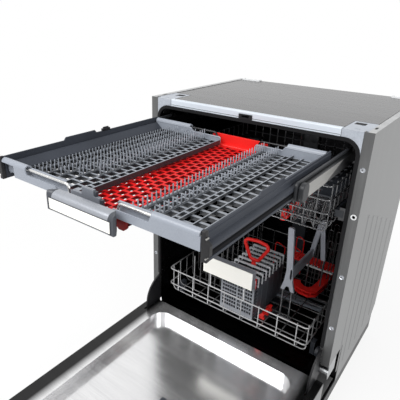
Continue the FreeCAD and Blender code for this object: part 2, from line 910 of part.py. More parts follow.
def balance_springs():
    """Tension springs beside the tub that carry the door's weight."""
    coil = sided("z", spring_x, spring_y, spring_radius, spring_sides, spring_low, spring_high)
    foot = sided("z", spring_x, spring_y, spring_hook_radius, spring_sides, hinge_plate_top, spring_low)
    hook = sided("z", spring_x, spring_y, spring_hook_radius, spring_sides, spring_high, spring_tab_z)
    tab = block(spring_x - spring_tab, panel_inside, spring_y - spring_tab, spring_y + spring_tab,
                spring_tab_z, spring_tab_z + spring_tab)
    return both_sides(joined([coil, foot, hook, tab]))


def sump():
    """Plastic pot under the tub floor, with the bridge and column of the lower arm."""
    top = tub_floor_z - tub_sheet - touch_gap
    pot = sided("z", sump_x, sump_y, sump_radius, sump_sides, sump_bottom, top)
    rim = sided("z", sump_x, sump_y, sump_radius + sump_flange, sump_sides, top - sump_flange_height, top)
    room = sided("z", sump_x, sump_y, sump_radius - sump_wall, sump_sides, sump_bottom + sump_wall,
                 top + overrun)
    reach = math.sqrt(sump_radius ** 2 - (abs(lower_arm_y - sump_y) + bridge_half_width) ** 2) - sump_wall / 2
    bridge = block(sump_x - reach, sump_x + reach, lower_arm_y - bridge_half_width,
                   lower_arm_y + bridge_half_width, top - bridge_height, top)
    column = sided("z", sump_x, lower_arm_y, column_radius, boss_sides, top - bridge_height,
                   lower_arm_z - running_gap)
    stub_top = lower_arm_z + arm_thickness + running_gap
    stub = round_z(top, stub_top, sump_x, lower_arm_y, arm_stub_radius)
    cap = sided("z", sump_x, lower_arm_y, arm_flange_radius, boss_sides, stub_top,
                stub_top + arm_flange_height)
    return joined([joined([pot, rim]).cut(room), bridge, column, stub, cap])


def filter_insert():
    """Round filter that stands in the sump and turns by its grip."""
    bottom = sump_bottom + sump_wall + running_gap
    body = sided("z", sump_x, filter_y, filter_radius, cap_sides, bottom, filter_top)
    grip = block(sump_x - filter_radius / 2, sump_x + filter_radius / 2, filter_y - filter_grip_thickness / 2,
                 filter_y + filter_grip_thickness / 2, filter_top, filter_top + filter_grip_height)
    return joined([body, grip])


def pumps():
    """Circulation pump and drain pump on the two sides of the sump."""
    start = sump_x + sump_radius + sump_flange
    body = sided("x", sump_y, pump_z, pump_radius, pump_sides, start, start + pump_length)
    neck = sided("x", sump_y, pump_z, pump_radius - pump_collar, pump_sides, sump_x + sump_radius + touch_gap,
                 start)
    drain_start = sump_x - sump_radius - sump_flange
    drain = sided("x", sump_y, pump_z, drain_pump_radius, pump_sides, drain_start - drain_pump_length,
                  drain_start)
    drain_neck = sided("x", sump_y, pump_z, drain_pump_radius - pump_collar, pump_sides, drain_start,
                       sump_x - sump_radius - touch_gap)
    return Part.makeCompound([joined([body, neck]), joined([drain, drain_neck])])


def inlet_valve():
    """Water valve in the base with its threaded inlet through the back wall."""
    inside = base_back - base_wall - touch_gap
    body = block(valve_x0, valve_x1, valve_y0, inside, valve_z0, valve_z1)
    middle_x = (valve_x0 + valve_x1) / 2
    middle_z = (valve_z0 + valve_z1) / 2
    start = base_back + running_gap
    neck = sided("y", middle_x, middle_z, inlet_radius - running_gap, boss_sides, inside, start)
    inlet = round_y(start, start + inlet_length, middle_x, middle_z, inlet_radius)
    return joined([body, neck, inlet])


def water_softener():
    """Salt tank under the tub floor with its filling neck."""
    tank = block(softener_x0, softener_x1, softener_y0, softener_y1, softener_bottom, softener_top)
    neck = sided("z", salt_x, salt_y, salt_neck_radius, cap_sides, softener_top, salt_neck_top)
    return joined([tank, neck])


def salt_cap():
    base = salt_neck_top + running_gap
    cap = sided("z", salt_x, salt_y, salt_cap_radius, cap_sides, base, base + salt_cap_height)
    grip = block(salt_x - salt_neck_radius, salt_x + salt_neck_radius, salt_y - salt_grip_height / 2,
                 salt_y + salt_grip_height / 2, base + salt_cap_height,
                 base + salt_cap_height + salt_grip_height)
    return joined([cap, grip])


def ceiling_arm_levels():
    """Bottom and top of the ceiling spray arm."""
    top = tub_ceiling_z - touch_gap - pipe_run_height - running_gap
    return top - ceiling_arm_thickness, top


def feed_pipe():
    """Flat duct up the back wall and along the ceiling, with both outlets."""
    back = tub_back_y - touch_gap
    top = tub_ceiling_z - touch_gap
    riser = block(-pipe_half_width, pipe_half_width, back - pipe_depth, back, pipe_foot_z, top)
    run = block(-pipe_run_half_width, pipe_run_half_width, ceiling_arm_y - pipe_run_half_width, back,
                top - pipe_run_height, top)
    low, high = ceiling_arm_levels()
    stub = round_z(low - running_gap, top, 0, ceiling_arm_y, ceiling_stub_radius)
    stub_flange = sided("z", 0, ceiling_arm_y, ceiling_stub_radius + ceiling_flange_height, boss_sides,
                        low - running_gap - ceiling_flange_height, low - running_gap)
    dock_z = upper_floor_z - rack_wire / 2 - touch_gap - upper_duct_height
    dock = block(-dock_half_width, dock_half_width, upper_duct_back_y + running_gap, back - pipe_depth,
                 dock_z, dock_z + dock_height)
    return joined([riser, run, stub, stub_flange, dock])


def spray_arm(y, z, reach, thickness, bore):
    """Two tapered blades with round tips on a round hub."""
    root = arm_root_width / 2
    tip = arm_tip_width / 2
    steps = [((reach - tip, y - tip),), ((reach, y), (reach - tip, y + tip)), ((0, y + root),),
             ((tip - reach, y + tip),), ((-reach, y), (tip - reach, y - tip))]
    blades = outline_solid("z", (0, y - root), steps, z, z + thickness)
    hub = sided("z", 0, y, arm_hub_radius, cap_sides, z, z + thickness)
    hole = round_z(z - overrun, z + thickness + overrun, 0, y, bore)
    return joined([blades, hub]).cut(hole)


def lower_spray_arm():
    return spray_arm(lower_arm_y, lower_arm_z, lower_arm_reach, arm_thickness, arm_stub_radius + pin_gap)


def ceiling_spray_arm():
    low, high = ceiling_arm_levels()
    return spray_arm(ceiling_arm_y, low, ceiling_arm_reach, high - low, ceiling_stub_radius + pin_gap)


def upper_duct_top():
    return upper_floor_z - rack_wire / 2 - touch_gap


def upper_arm_top():
    return upper_duct_top() - upper_duct_height - running_gap


def upper_spray_arm():
    return spray_arm(upper_arm_y, upper_arm_top() - arm_thickness, upper_arm_reach, arm_thickness,
                     arm_stub_radius + pin_gap)


def upper_rack_duct():
    """Water duct under the upper rack with the stub of its spray arm."""
    top = upper_duct_top()
    duct = block(-upper_duct_half_width, upper_duct_half_width, upper_arm_y - upper_duct_half_width,
                 upper_duct_back_y, top - upper_duct_height, top)
    low = upper_arm_top() - arm_thickness - running_gap
    stub = round_z(low, top - upper_duct_height, 0, upper_arm_y, arm_stub_radius)
    cap = sided("z", 0, upper_arm_y, arm_flange_radius, boss_sides, low - arm_flange_height, low)
    return joined([duct, stub, cap])


def outer_rail(inner, lip, low, high, y0, y1, depth):
    """Channel on the tub wall, open towards the middle, with its top edge bevelled."""
    outer = tub_half_width - touch_gap
    outline = [(inner, low - lip), (outer, low - lip), (outer, high + lip - outer_rail_bevel),
               (outer - outer_rail_bevel_width, high + lip), (inner, high + lip)]
    bar = polygon_solid("y", outline, y0, y1)
    groove = block(inner - overrun, inner + depth, y0 - overrun, y1 + overrun, low, high)
    return both_sides(bar.cut(groove))


def drawer_rails_outer():
    depth = middle_rail_back + running_gap - outer_rail_inner
    return outer_rail(outer_rail_inner, outer_rail_lip, middle_rail_bottom - running_gap,
                      middle_rail_top + running_gap, outer_rail_front_y, outer_rail_back_y, depth)


def drawer_rails_middle():
    """Steel members of the telescopic runners, half pulled out."""
    member = block(rail_step, middle_rail_back, middle_rail_front_y, middle_rail_front_y + middle_rail_length,
                   middle_rail_bottom, middle_rail_top)
    return both_sides(member)


def slider_inner():
    return upper_half_width + rack_wire / math.sqrt(3) + touch_gap


def upper_rack_rails():
    inner = slider_inner() + slider_depth / 2
    return outer_rail(inner, rail_lip, slider_bottom - running_gap, slider_top + running_gap,
                      upper_rail_front_y, upper_rail_back_y, slider_depth / 2 + running_gap)


def upper_rack_sliders():
    """Runners on the rack's sides that ride in the wall rails."""
    inner = slider_inner()
    bar = block(inner, inner + slider_depth, upper_rail_front_y, upper_back_y, slider_bottom, slider_top)
    return both_sides(bar)


def door_outer_panel():
    """Outer sheet with side returns, and a bare skirt below the hinge."""
    face = block(-door_half_width, door_half_width, door_top_y, door_skirt_y, door_outer_z,
                 door_outer_z + sheet)
    side = block(door_half_width - sheet, door_half_width, door_top_y, door_foot_y, door_outer_z,
                 liner_z - sheet)
    end = block(-door_half_width, door_half_width, door_top_y, door_top_y + sheet, door_outer_z, strip_z)
    return joined([face, side, mirrored(side), end])


def door_liner():
    """Inner sheet of the door with its dish, and notches for the hinge ears."""
    border = block(-liner_half_width, liner_half_width, liner_end_y, door_foot_y, liner_z - sheet, liner_z)
    dish = block(-dish_half_width - sheet, dish_half_width + sheet, dish_front_y - sheet, dish_back_y + sheet,
                 dish_z, liner_z)
    room = block(-dish_half_width, dish_half_width, dish_front_y, dish_back_y, dish_z + sheet,
                 liner_z + overrun)
    corners = [edge for edge in room.Edges if edge.Vertexes[0].Point.distanceToPoint(
        edge.Vertexes[1].Point) < liner_z + overrun - dish_z]
    room = room.makeFillet(dish_corner_radius, corners)
    outer_corners = [edge for edge in dish.Edges if edge.Vertexes[0].Point.distanceToPoint(
        edge.Vertexes[1].Point) < liner_z + overrun - dish_z]
    dish = dish.makeFillet(dish_corner_radius + sheet, outer_corners)
    notch = block(ear_inner - ear_notch_gap, ear_inner + ear_thickness + ear_notch_gap, ear_notch_y,
                  door_foot_y + overrun, liner_z - sheet - overrun, liner_z + overrun)
    foot = block(-liner_half_width, liner_half_width, door_foot_y - sheet, door_foot_y,
                 dish_z, liner_z)
    well = block(dispenser_x0, dispenser_x1, dispenser_y0, dispenser_y1, dish_z - overrun,
                 dish_z + sheet + overrun)
    foot_notch = block(ear_inner - ear_notch_gap, ear_inner + ear_thickness + ear_notch_gap, ear_notch_y,
                       door_foot_y + overrun, dish_z - overrun, liner_z + overrun)
    return joined([border, dish, foot]).cut([room, notch, mirrored(notch), well, foot_notch,
                                             mirrored(foot_notch)])


def button_pocket(x, gap):
    """Space of one button, widened by the given gap."""
    return block(x - button_half_width - gap, x + button_half_width + gap, door_top_y + sheet - overrun,
                 door_top_y + button_depth + button_travel + gap + pocket_spare, button_z - gap,
                 button_z + button_height + gap)


def control_strip():
    """Plastic strip along the door's top edge that holds the buttons."""
    strip = block(-liner_half_width, liner_half_width, door_top_y + sheet, liner_end_y - touch_gap,
                  strip_z, liner_z - touch_gap)
    return strip.cut([button_pocket(x, running_gap) for x in button_places])


def button(x):
    cap = block(x - button_half_width, x + button_half_width, door_top_y + sheet - button_stand,
                door_top_y + button_depth, button_z, button_z + button_height)
    return cap


def door_latch():
    """Hook on the door's inner face that enters the striker."""
    base = liner_z - touch_gap
    stem = block(-latch_half_width, latch_half_width, latch_y0, latch_y1, base, base + latch_reach)
    return stem


def hinge_ears():
    """Dark round cheeks beside the door, each with its steel arm into the door."""
    outer = ear_inner + ear_thickness
    ear_arm_low = door_outer_z + sheet + touch_gap
    front = pivot_y - ear_radius
    back = -ear_front_clear
    rise = math.sqrt(ear_radius ** 2 - (back - pivot_y) ** 2)
    slant = ear_radius * math.sqrt(0.5)
    steps = [((pivot_y - slant, pivot_z + slant), (front, pivot_z)), ((front, ear_arm_high),),
             ((back - ear_arm_reach, ear_arm_high),), ((back - ear_arm_reach, ear_arm_low),),
             ((front / 2, ear_arm_low),), ((back, ear_arm_high),)]
    cheek = outline_solid("x", (back, pivot_z + rise), steps, ear_inner, outer)
    hub = round_x(ear_inner, outer, pivot_y, pivot_z, ear_hub_radius)
    neck = block(ear_inner, outer, back, pivot_y, pivot_z - ear_hub_radius, pivot_z + ear_hub_radius)
    hole = round_x(ear_inner - overrun, outer + overrun, pivot_y, pivot_z, hinge_pin_radius + pin_gap)
    return both_sides(joined([cheek, neck, hub]).cut(hole))


def dispenser_body():
    """Housing set into the liner, with the detergent cup and the lid's guides."""
    rim = dish_z + sheet + dispenser_rim
    body = block(dispenser_x0 + touch_gap, dispenser_x1 - touch_gap, dispenser_y0 + touch_gap,
                 dispenser_y1 - touch_gap, dispenser_bottom, rim)
    inset = 2 * lid_thickness
    cup = block(lid_x0 + inset, lid_x1 - inset, lid_y0 + inset, lid_y1 - inset, rim - dispenser_cup_depth,
                rim + overrun)
    lid_top = rim + running_gap + lid_thickness
    pieces = [body.cut(cup)]
    for edge, way in ((lid_x0, -1), (lid_x1, 1)):
        near, far = sorted((edge + way * running_gap, edge + way * guide_width))
        pieces.append(block(near, far, lid_y0, lid_y1, rim, lid_top + running_gap + guide_lip))
        near, far = sorted((edge - way * guide_width, edge + way * guide_width))
        pieces.append(block(near, far, lid_y0, lid_y1, lid_top + running_gap,
                            lid_top + running_gap + guide_lip))
    return joined(pieces)


def dispenser_lid():
    """Flat lid that slides in its guides, with a finger ridge."""
    low = dish_z + sheet + dispenser_rim + running_gap
    plate = block(lid_x0, lid_x1, lid_y0, lid_y1, low, low + lid_thickness)
    ridge = block(lid_x0 + lid_ridge_margin, lid_x1 - lid_ridge_margin, lid_y0 + guide_width,
                  lid_y0 + 2 * guide_width,
                  low + lid_thickness, low + 2 * lid_thickness)
    return joined([plate, ridge])


def rinse_cap():
    low = dish_z + sheet + dispenser_rim + running_gap
    cap = sided("z", rinse_x, rinse_y, rinse_radius, cap_sides, low, low + rinse_height)
    grip = block(rinse_x - rinse_radius / 2, rinse_x + rinse_radius / 2, rinse_y - rinse_grip_height / 2,
                 rinse_y + rinse_grip_height / 2, low + rinse_height, low + rinse_height + rinse_grip_height)
    return joined([cap, grip])


def drawer_sides():
    """Dark side profiles with a raised stretch and the runner outside."""
    outline = [(side_front_y, side_bottom), (side_front_y, side_top), (raise_front_y - raise_slope, side_top),
               (raise_front_y, side_top + side_raise), (raise_back_y, side_top + side_raise),
               (raise_back_y + raise_slope, side_top), (side_back_y, side_top), (side_back_y, side_bottom)]
    wall = polygon_solid("x", outline, side_inner, side_inner + side_wall)
    runner = block(side_inner + side_wall, rail_step - running_gap, side_front_y, side_back_y,
                   runner_bottom, runner_top)
    lip = block(side_inner, side_inner + side_wall + side_lip_width, side_front_y, side_back_y, side_bottom,
                side_bottom + side_lip_height)
    return both_sides(joined([wall, runner, lip]))


def cross_wire(y):
    """Six-sided steel wire from side to side that dips under the centre tray."""
    start = Vector(-side_inner, y, wire_high_z)
    path = Part.makePolygon([start, Vector(dip_left, y, wire_high_z), Vector(dip_left, y, wire_low_z),
                             Vector(dip_right, y, wire_low_z), Vector(dip_right, y, wire_high_z),
                             Vector(side_inner, y, wire_high_z)])
    corners = []
    for step in range(hex_sides):
        turn = 2 * math.pi * step / hex_sides
        corners.append(start + Vector(0, math.cos(turn), math.sin(turn)) * cross_wire_radius)
    section = Part.makePolygon(corners + corners[:1])
    return path.makePipeShell([section], True, False, 1)


def drawer_wires():
    return Part.makeCompound([cross_wire(front_wire_y), cross_wire(back_wire_y)])


def hook(x0, x1, y):
    """Half-round hook over a cross wire."""
    outer, inner = hook_outer_radius, hook_inner_radius
    steps = [((y, wire_high_z + outer), (y + outer, wire_high_z)), ((y + inner, wire_high_z),),
             ((y, wire_high_z + inner), (y - inner, wire_high_z))]
    arch = outline_solid("x", (y - outer, wire_high_z), steps, x0, x1)
    seat_z = wire_high_z + cross_wire_radius * math.sqrt(3) / 2 + running_gap
    half_seat = cross_wire_radius / 2
    return arch.fuse(block(x0, x1, y - half_seat, y + half_seat, seat_z, wire_high_z + (inner + outer) / 2))


def end_wall(x_high, x_curve, x_end, y0, y1):
    """Tray end wall: full height, then an S-shaped drop to a low stretch."""
    side = 1 if x_end > x_high else -1
    low = tray_floor_z + tray_low_wall
    middle_x = x_curve + side * curve_width / 2
    middle_z = (wire_high_z + low) / 2
    reach = curve_width / 2 * (1 - math.sqrt(0.5))
    drop = (wire_high_z - low) / 2 * (1 - math.sqrt(0.5))
    steps = [((x_high, wire_high_z),), ((x_curve, wire_high_z),),
             ((middle_x - side * reach, wire_high_z - drop), (middle_x, middle_z)),
             ((middle_x + side * reach, low + drop), (x_curve + side * curve_width, low)),
             ((x_end, low),), ((x_end, tray_floor_z),)]
    return outline_solid("y", (x_high, tray_floor_z), steps, y0, y1)


def side_tray(x0, x1, columns, front_hook, back_hook, apron, walls):
    """Grey tray: slotted floor, end walls hooked over both cross wires, and the front apron."""
    front_in = front_wire_y + hook_inner_radius
    back_in = back_wire_y - hook_inner_radius
    floor = slotted_floor(x0, x1, front_in, back_in, tray_floor_z, tray_floor_thickness,
                          columns, side_slot_rows, slot_bar)
    rim = tray_floor_z + tray_edge_height
    edges = [block(x0, x0 + tray_edge_width, front_in, back_in, tray_floor_z, rim),
             block(x1 - tray_edge_width, x1, front_in, back_in, tray_floor_z, rim)]
    face = block(*apron, front_wire_y - hook_outer_radius, front_wire_y - hook_inner_radius,
                 tray_floor_z, wire_high_z)
    lip = block(*back_hook, back_wire_y + hook_inner_radius, back_wire_y + hook_outer_radius,
                wire_high_z - hook_lip, wire_high_z)
    hooks = [hook(*front_hook, front_wire_y), hook(*back_hook, back_wire_y)]
    return joined([floor] + edges + walls + [face, lip] + hooks)


def comb_ends():
    return front_wire_y + hook_outer_radius + slot_bar, back_wire_y - hook_outer_radius - slot_bar


def wall_depths():
    """Depth ranges of the front and back end walls of the side trays."""
    front = (front_wire_y + hook_inner_radius, front_wire_y + hook_outer_radius)
    back = (back_wire_y - hook_outer_radius, back_wire_y - hook_inner_radius)
    return front, back


def tray_left():
    walls = [end_wall(left_tray_x0, left_curve_x, left_tray_x1, *depth) for depth in wall_depths()]
    tray = side_tray(left_tray_x0, left_tray_x1, left_slot_columns, (left_tray_x0, left_hook_front_x1),
                     (left_tray_x0, left_hook_back_x1), (left_apron_x0, left_curve_x), walls)
    near, far = comb_ends()
    top = tray_floor_z + tray_floor_thickness
    places = spread(left_tray_x0 + left_comb_margin, left_tray_x1 - left_comb_inner_margin, left_comb_count)
    return Part.makeCompound([tray] + [comb(x, near, far, top, low_comb_height) for x in places])


def tray_right():
    walls = [block(right_wall_x0, right_tray_x1, *depth, tray_floor_z,
                   wire_high_z) for depth in wall_depths()]
    hook_x = (right_hook_x0, right_hook_x1)
    tray = side_tray(right_tray_x0, right_tray_x1, right_slot_columns, hook_x, hook_x,
                     (right_apron_x0, right_tray_x1), walls)
    near, far = comb_ends()
    top = tray_floor_z + tray_floor_thickness
    return Part.makeCompound([tray, comb(right_comb_tall_x, near, far, top, tall_comb_height),
                              comb(right_comb_low_x, near, far, top, low_comb_height)])


def red_tray():
    """Red centre tray hung low on the dips of both wires, with a tall back wall."""
    floor = slotted_floor(red_x0, red_x1, red_front_y, red_back_y, red_floor_z, red_wall,
                          red_slot_columns, red_slot_rows, slot_bar)
    front = block(red_x0, red_x1, red_front_y, red_front_y + red_wall, red_floor_z, red_rim_z)
    back = block(red_x0, red_x1, red_back_y - red_wall, red_back_y, red_floor_z, red_back_rim_z)
    left = block(red_x0, red_x0 + red_wall, red_front_y, red_back_y, red_floor_z, red_rim_z)
    right = block(red_x1 - red_wall, red_x1, red_front_y, red_back_y, red_floor_z, red_rim_z)
    lug_z = wire_low_z + cross_wire_radius + touch_gap
    front_lug = block(red_lug_x0, red_lug_x1, front_wire_y - cross_wire_radius, red_front_y + red_wall,
                      lug_z, lug_z + red_lug_height)
    front_rise = block(red_lug_x0, red_lug_x1, red_front_y, red_front_y + red_wall, red_floor_z,
                       lug_z + red_lug_height)
    back_lug = block(red_lug_x0, red_lug_x1, back_wire_y - cross_wire_radius, red_back_y, lug_z,
                     lug_z + red_lug_height)
    return joined([floor, front, back, left, right, front_lug, front_rise, back_lug])


def drawer_handle():
    """Rounded grip, hollow from below, on an arm to the centre tray's front."""
    shoulder = handle_top_z - handle_shoulder_z
    slant = shoulder * (1 - math.sqrt(0.5))
    steps = [((handle_back_y, handle_top_z),), ((handle_front_y + shoulder, handle_top_z),),
             ((handle_front_y + slant, handle_top_z - slant), (handle_front_y, handle_shoulder_z)),
             ((handle_front_y, handle_bottom_z),)]
    grip = outline_solid("x", (handle_back_y, handle_bottom_z), steps, handle_x0, handle_x1)
    room = block(handle_x0 + handle_wall, handle_x1 - handle_wall, handle_front_y + handle_wall,
                 handle_back_y - handle_wall, handle_bottom_z - overrun, handle_shoulder_z)
    arm = block(handle_arm_x0, handle_arm_x1, handle_back_y - handle_wall, red_front_y - touch_gap,
                handle_arm_low, handle_arm_high)
    return joined([grip.cut(room), arm])


def drawer_handle_plate():
    return block(handle_x0 + plate_margin, handle_x1 - plate_margin, handle_front_y - plate_thickness,
                 handle_front_y, plate_low_z, plate_high_z)


def wire_rack(half, y0, y1, floor_z, levels, cross_places, long_places):
    """Welded wire basket: floor grid, uprights and the wires round its walls."""
    wire = rack_wire
    corner = wire / math.sqrt(3)
    rods = []
    reach = half - corner - touch_gap
    for y in cross_places:
        rods.append(hex_rod(Vector(-reach, y, floor_z), Vector(reach, y, floor_z), wire))
    for x in long_places:
        rods.append(hex_rod(Vector(x, y0, floor_z + wire), Vector(x, y1, floor_z + wire), wire))
    side_start = y0 + corner + touch_gap
    side_end = y1 - corner - touch_gap
    for z in levels:
        for y in (y0, y1):
            rods.append(hex_rod(Vector(-half, y, z), Vector(half, y, z), wire))
        for x in (-half, half):
            rods.append(hex_rod(Vector(x, side_start, z), Vector(x, side_end, z), wire))
    top = levels[-1] + wire / 2
    inset = corner + wire / 2 + touch_gap
    for x in long_places:
        for y in (y0 + inset, y1 - inset):
            rods.append(hex_rod(Vector(x, y, floor_z + upright_lift), Vector(x, y, top), wire))
    side_x = half - 2 * corner - touch_gap
    for y in cross_places[1:-1]:
        for x in (-side_x, side_x):
            rods.append(hex_rod(Vector(x, y, floor_z + wire / 2), Vector(x, y, top), wire))
    return rods


def tines(x_places, y_places, floor_z, height):
    """Upright tines welded on the floor's cross wires."""
    low = floor_z + rack_wire / 2
    return [hex_rod(Vector(x, y, low), Vector(x, y, low + height),
                    rack_wire) for x in x_places for y in y_places]


def cross_places(y0, y1, count):
    return spread(y0 + rack_end_margin, y1 - rack_end_margin, count)


def long_places(half, count):
    return spread(rack_side_margin - half, half - rack_side_margin, count)


def between(places):
    """Middles of neighbouring places."""
    return [(first + second) / 2 for first, second in zip(places, places[1:])]


def upper_rack_frame():
    cross = cross_places(upper_front_y, upper_back_y, upper_cross_count)
    long = long_places(upper_half_width, upper_long_count)
    rods = wire_rack(upper_half_width, upper_front_y, upper_back_y, upper_floor_z, upper_levels, cross, long)
    rods += tines(between(long)[3:5], cross[1:-1], upper_floor_z, upper_tine_height)
    return Part.makeCompound(rods)


def upper_rack_clips():
    """Red clips along one floor wire."""
    x = long_places(upper_half_width, upper_long_count)[-3]
    low = upper_floor_z + upright_lift
    clips = []
    for step in range(clip_count):
        near = clip_start_y + step * clip_pitch
        clips.append(polygon_solid("x", [(near, low), (near + clip_length, low),
                                         (near + clip_length / 2, low + clip_height)],
                                   x - clip_width / 2, x + clip_width / 2))
    return Part.makeCompound(clips)


def shelf_axis_x():
    """Distance of the cup shelf's hinge from the middle."""
    corner = rack_wire / math.sqrt(3)
    return upper_half_width - 3 * corner - 2 * touch_gap - running_gap - knuckle_radius


def cup_shelf():
    """Slotted plastic flap with a round knuckle along its outer edge."""
    axis = shelf_axis_x()
    low = shelf_z - shelf_thickness / 2
    plate = block(axis - shelf_width, axis, shelf_front_y, shelf_back_y, low, low + shelf_thickness)
    knuckle = sided("y", axis, shelf_z, knuckle_radius, knuckle_sides, shelf_front_y, shelf_back_y)
    slots = []
    near = shelf_front_y + shelf_slot_pitch - shelf_slot_width
    while near + shelf_slot_width < shelf_back_y:
        slots.append(block(axis - shelf_width - overrun, axis - shelf_width / 2, near,
                           near + shelf_slot_width,
                           low - overrun, low + shelf_thickness + overrun))
        near += shelf_slot_pitch
    return joined([plate, knuckle]).cut(slots)


def lower_rack_frame():
    cross = cross_places(lower_front_y, lower_back_y, lower_cross_count)
    long = long_places(lower_half_width, lower_long_count)
    rods = wire_rack(lower_half_width, lower_front_y, lower_back_y, lower_floor_z, lower_levels, cross, long)
    rods += tines(between(long)[0:2], cross[1:-1], lower_floor_z, tine_height)
    post_low = lower_levels[-1] + rack_wire / 2 + touch_gap
    for x in (grip_x0 + grip_post_inset, grip_x1 - grip_post_inset):
        rods.append(hex_rod(Vector(x, lower_front_y, post_low),
                            Vector(x, lower_front_y, grip_bottom - touch_gap),
                            rack_wire))
    return Part.makeCompound(rods)


def wheel_z():
    return track_z + running_gap + wheel_radius


def wheel_carriers():
    """Plastic blocks under the rack's sides with the wheels' axles."""
    top = lower_floor_z - rack_wire / 2 - touch_gap
    solids = []
    for y in (wheel_front_y, wheel_back_y):
        body = block(carrier_face_x - carrier_width, carrier_face_x, y - carrier_depth / 2,
                     y + carrier_depth / 2,
                     wheel_z() - carrier_depth / 2, top)
        axle = round_x(carrier_face_x, carrier_face_x + wheel_face_gap + wheel_width, y, wheel_z(),
                       axle_radius)
        carrier = joined([body, axle])
        solids += [carrier, mirrored(carrier)]
    return Part.makeCompound(solids)


def wheel_pair(y):
    start = carrier_face_x + wheel_face_gap
    wheel = sided("x", y, wheel_z(), wheel_radius, wheel_sides, start, start + wheel_width)
    bore = round_x(start - overrun, start + wheel_width + overrun, y, wheel_z(), axle_radius + pin_gap)
    return both_sides(wheel.cut(bore))


def lower_handle_grip():
    """Plastic grip on two wire posts above the rack's front, hollow behind."""
    grip = block(grip_x0, grip_x1, grip_front_y, grip_front_y + grip_depth, grip_bottom, grip_top)
    room = block(grip_x0 + grip_wall, grip_x1 - grip_wall, grip_front_y + grip_wall,
                 grip_front_y + grip_depth + overrun,
                 grip_bottom + grip_wall, grip_top - grip_wall)
    return grip.cut(room)


def lower_handle_plate():
    return block(grip_x0, grip_x1, grip_front_y - grip_plate_thickness, grip_front_y, grip_bottom, grip_top)


def windows(first, last, size, bar):
    """Start places of equal windows between bars."""
    count = int((last - first - bar) // (size + bar))
    step = (last - first - bar) / count
    return [(first + bar + place * step, first + (place + 1) * step) for place in range(count)]


def cutlery_basket():
    """Lattice basket with a ribbed comb top."""
    box = block(basket_x0, basket_x1, basket_y0, basket_y1, basket_bottom, basket_top)
    room = block(basket_x0 + basket_wall, basket_x1 - basket_wall, basket_y0 + basket_wall,
                 basket_y1 - basket_wall,
                 basket_bottom + basket_wall, basket_top + overrun)
    cutters = [room]
    levels = windows(basket_bottom, basket_top, basket_window, basket_bar)
    for x0, x1 in windows(basket_x0, basket_x1, 2 * basket_window, basket_bar):
        for z0, z1 in levels:
            cutters.append(block(x0, x1, basket_y0 - overrun, basket_y0 + basket_wall + overrun, z0, z1))
    for y0, y1 in windows(basket_y0, basket_y1, 2 * basket_window, basket_bar):
        for z0, z1 in levels[1::2]:
            cutters.append(block(basket_x0 - overrun, basket_x1 + overrun, y0, y1, z0, z1))
    basket = box.cut(cutters)
    ribs = []
    near = basket_y0 + basket_rib_pitch
    while near + basket_rib < basket_y1:
        ribs.append(block(basket_x0, basket_x1, near, near + basket_rib, basket_top - basket_bar, basket_top))
        near += basket_rib_pitch
    return joined([basket] + ribs)


def basket_handle():
    """Red three-cornered loop standing on the basket's top."""
    middle = (basket_x0 + basket_x1) / 2
    outer = [(middle - loop_foot_half_width, basket_top), (middle + loop_foot_half_width, basket_top),
             (middle + loop_half_width, loop_top - loop_corner),
             (middle + loop_half_width - loop_corner, loop_top),
             (middle - loop_half_width + loop_corner, loop_top),
             (middle - loop_half_width, loop_top - loop_corner)]
    inner_top = loop_top - loop_bar
    inner_half = loop_half_width - loop_bar - loop_corner
    inner = [(middle, basket_top + 2 * loop_bar), (middle + inner_half, inner_top),
             (middle - inner_half, inner_top)]
    low, high = loop_y - loop_thickness / 2, loop_y + loop_thickness / 2
    return polygon_solid("y", outer, low, high).cut(polygon_solid("y", inner, low - overrun, high + overrun))


def holder_post(foot):
    """Leaning post with a notched foot on two stems and a floor bar."""
    x, low = holder_post_x, holder_foot_z
    top_x = x - holder_lean
    outline = [(x - holder_half_foot, low), (x - holder_notch, low),
               (x - holder_notch_top, low + holder_notch_height),
               (x + holder_notch_top, low + holder_notch_height), (x + holder_notch, low),
               (x + holder_half_foot, low), (x + holder_half_neck, low + holder_neck_rise),
               (top_x + holder_half_top, holder_top), (top_x - holder_half_top, holder_top),
               (x - holder_half_neck, low + holder_neck_rise)]
    near, far = holder_y, holder_y + holder_thickness
    stems = [block(edge, edge + holder_stem, near, far, foot, low + holder_stem)
             for edge in (x - holder_half_foot + holder_stem, x + holder_half_foot - 2 * holder_stem)]
    bar = block(x - holder_bar_left, x + holder_bar_right, near, far, foot, foot + holder_bar_height)
    return [polygon_solid("y", outline, near, far), bar] + stems


def holder_fork(foot):
    """Two-legged fork behind the post, on two stems and a floor bar."""
    x, low = holder_fork_x, holder_foot_z + holder_fork_rise
    top = holder_top - holder_fork_drop
    reach = holder_fork_half_foot
    outline = [(x - reach, low), (x - reach + holder_leg, low), (x, top - 2 * holder_leg),
               (x + reach - holder_leg, low), (x + reach, low), (x + holder_leg / 2, top),
               (x - holder_leg / 2, top)]
    near, far = holder_y + holder_spacing, holder_y + holder_spacing + holder_thickness
    stems = [block(edge, edge + holder_stem, near, far, foot, low + holder_stem)
             for edge in (x - reach + holder_stem / 2, x + reach - 3 * holder_stem / 2)]
    bar = block(x - reach, x + holder_fork_bar_right, near, far, foot, foot + holder_bar_height)
    return [polygon_solid("y", outline, near, far), bar] + stems


def tall_holder():
    """Slate plastic post and fork, joined by a beam, that hold tall pieces in the lower rack."""
    foot = basket_bottom
    beam = block(holder_post_x + holder_beam_x - holder_thickness / 2,
                 holder_post_x + holder_beam_x + holder_thickness / 2, holder_y, holder_y + holder_spacing,
                 holder_foot_z + holder_beam_low, holder_foot_z + holder_beam_low + holder_beam_height)
    return joined(holder_post(foot) + holder_fork(foot) + [beam])


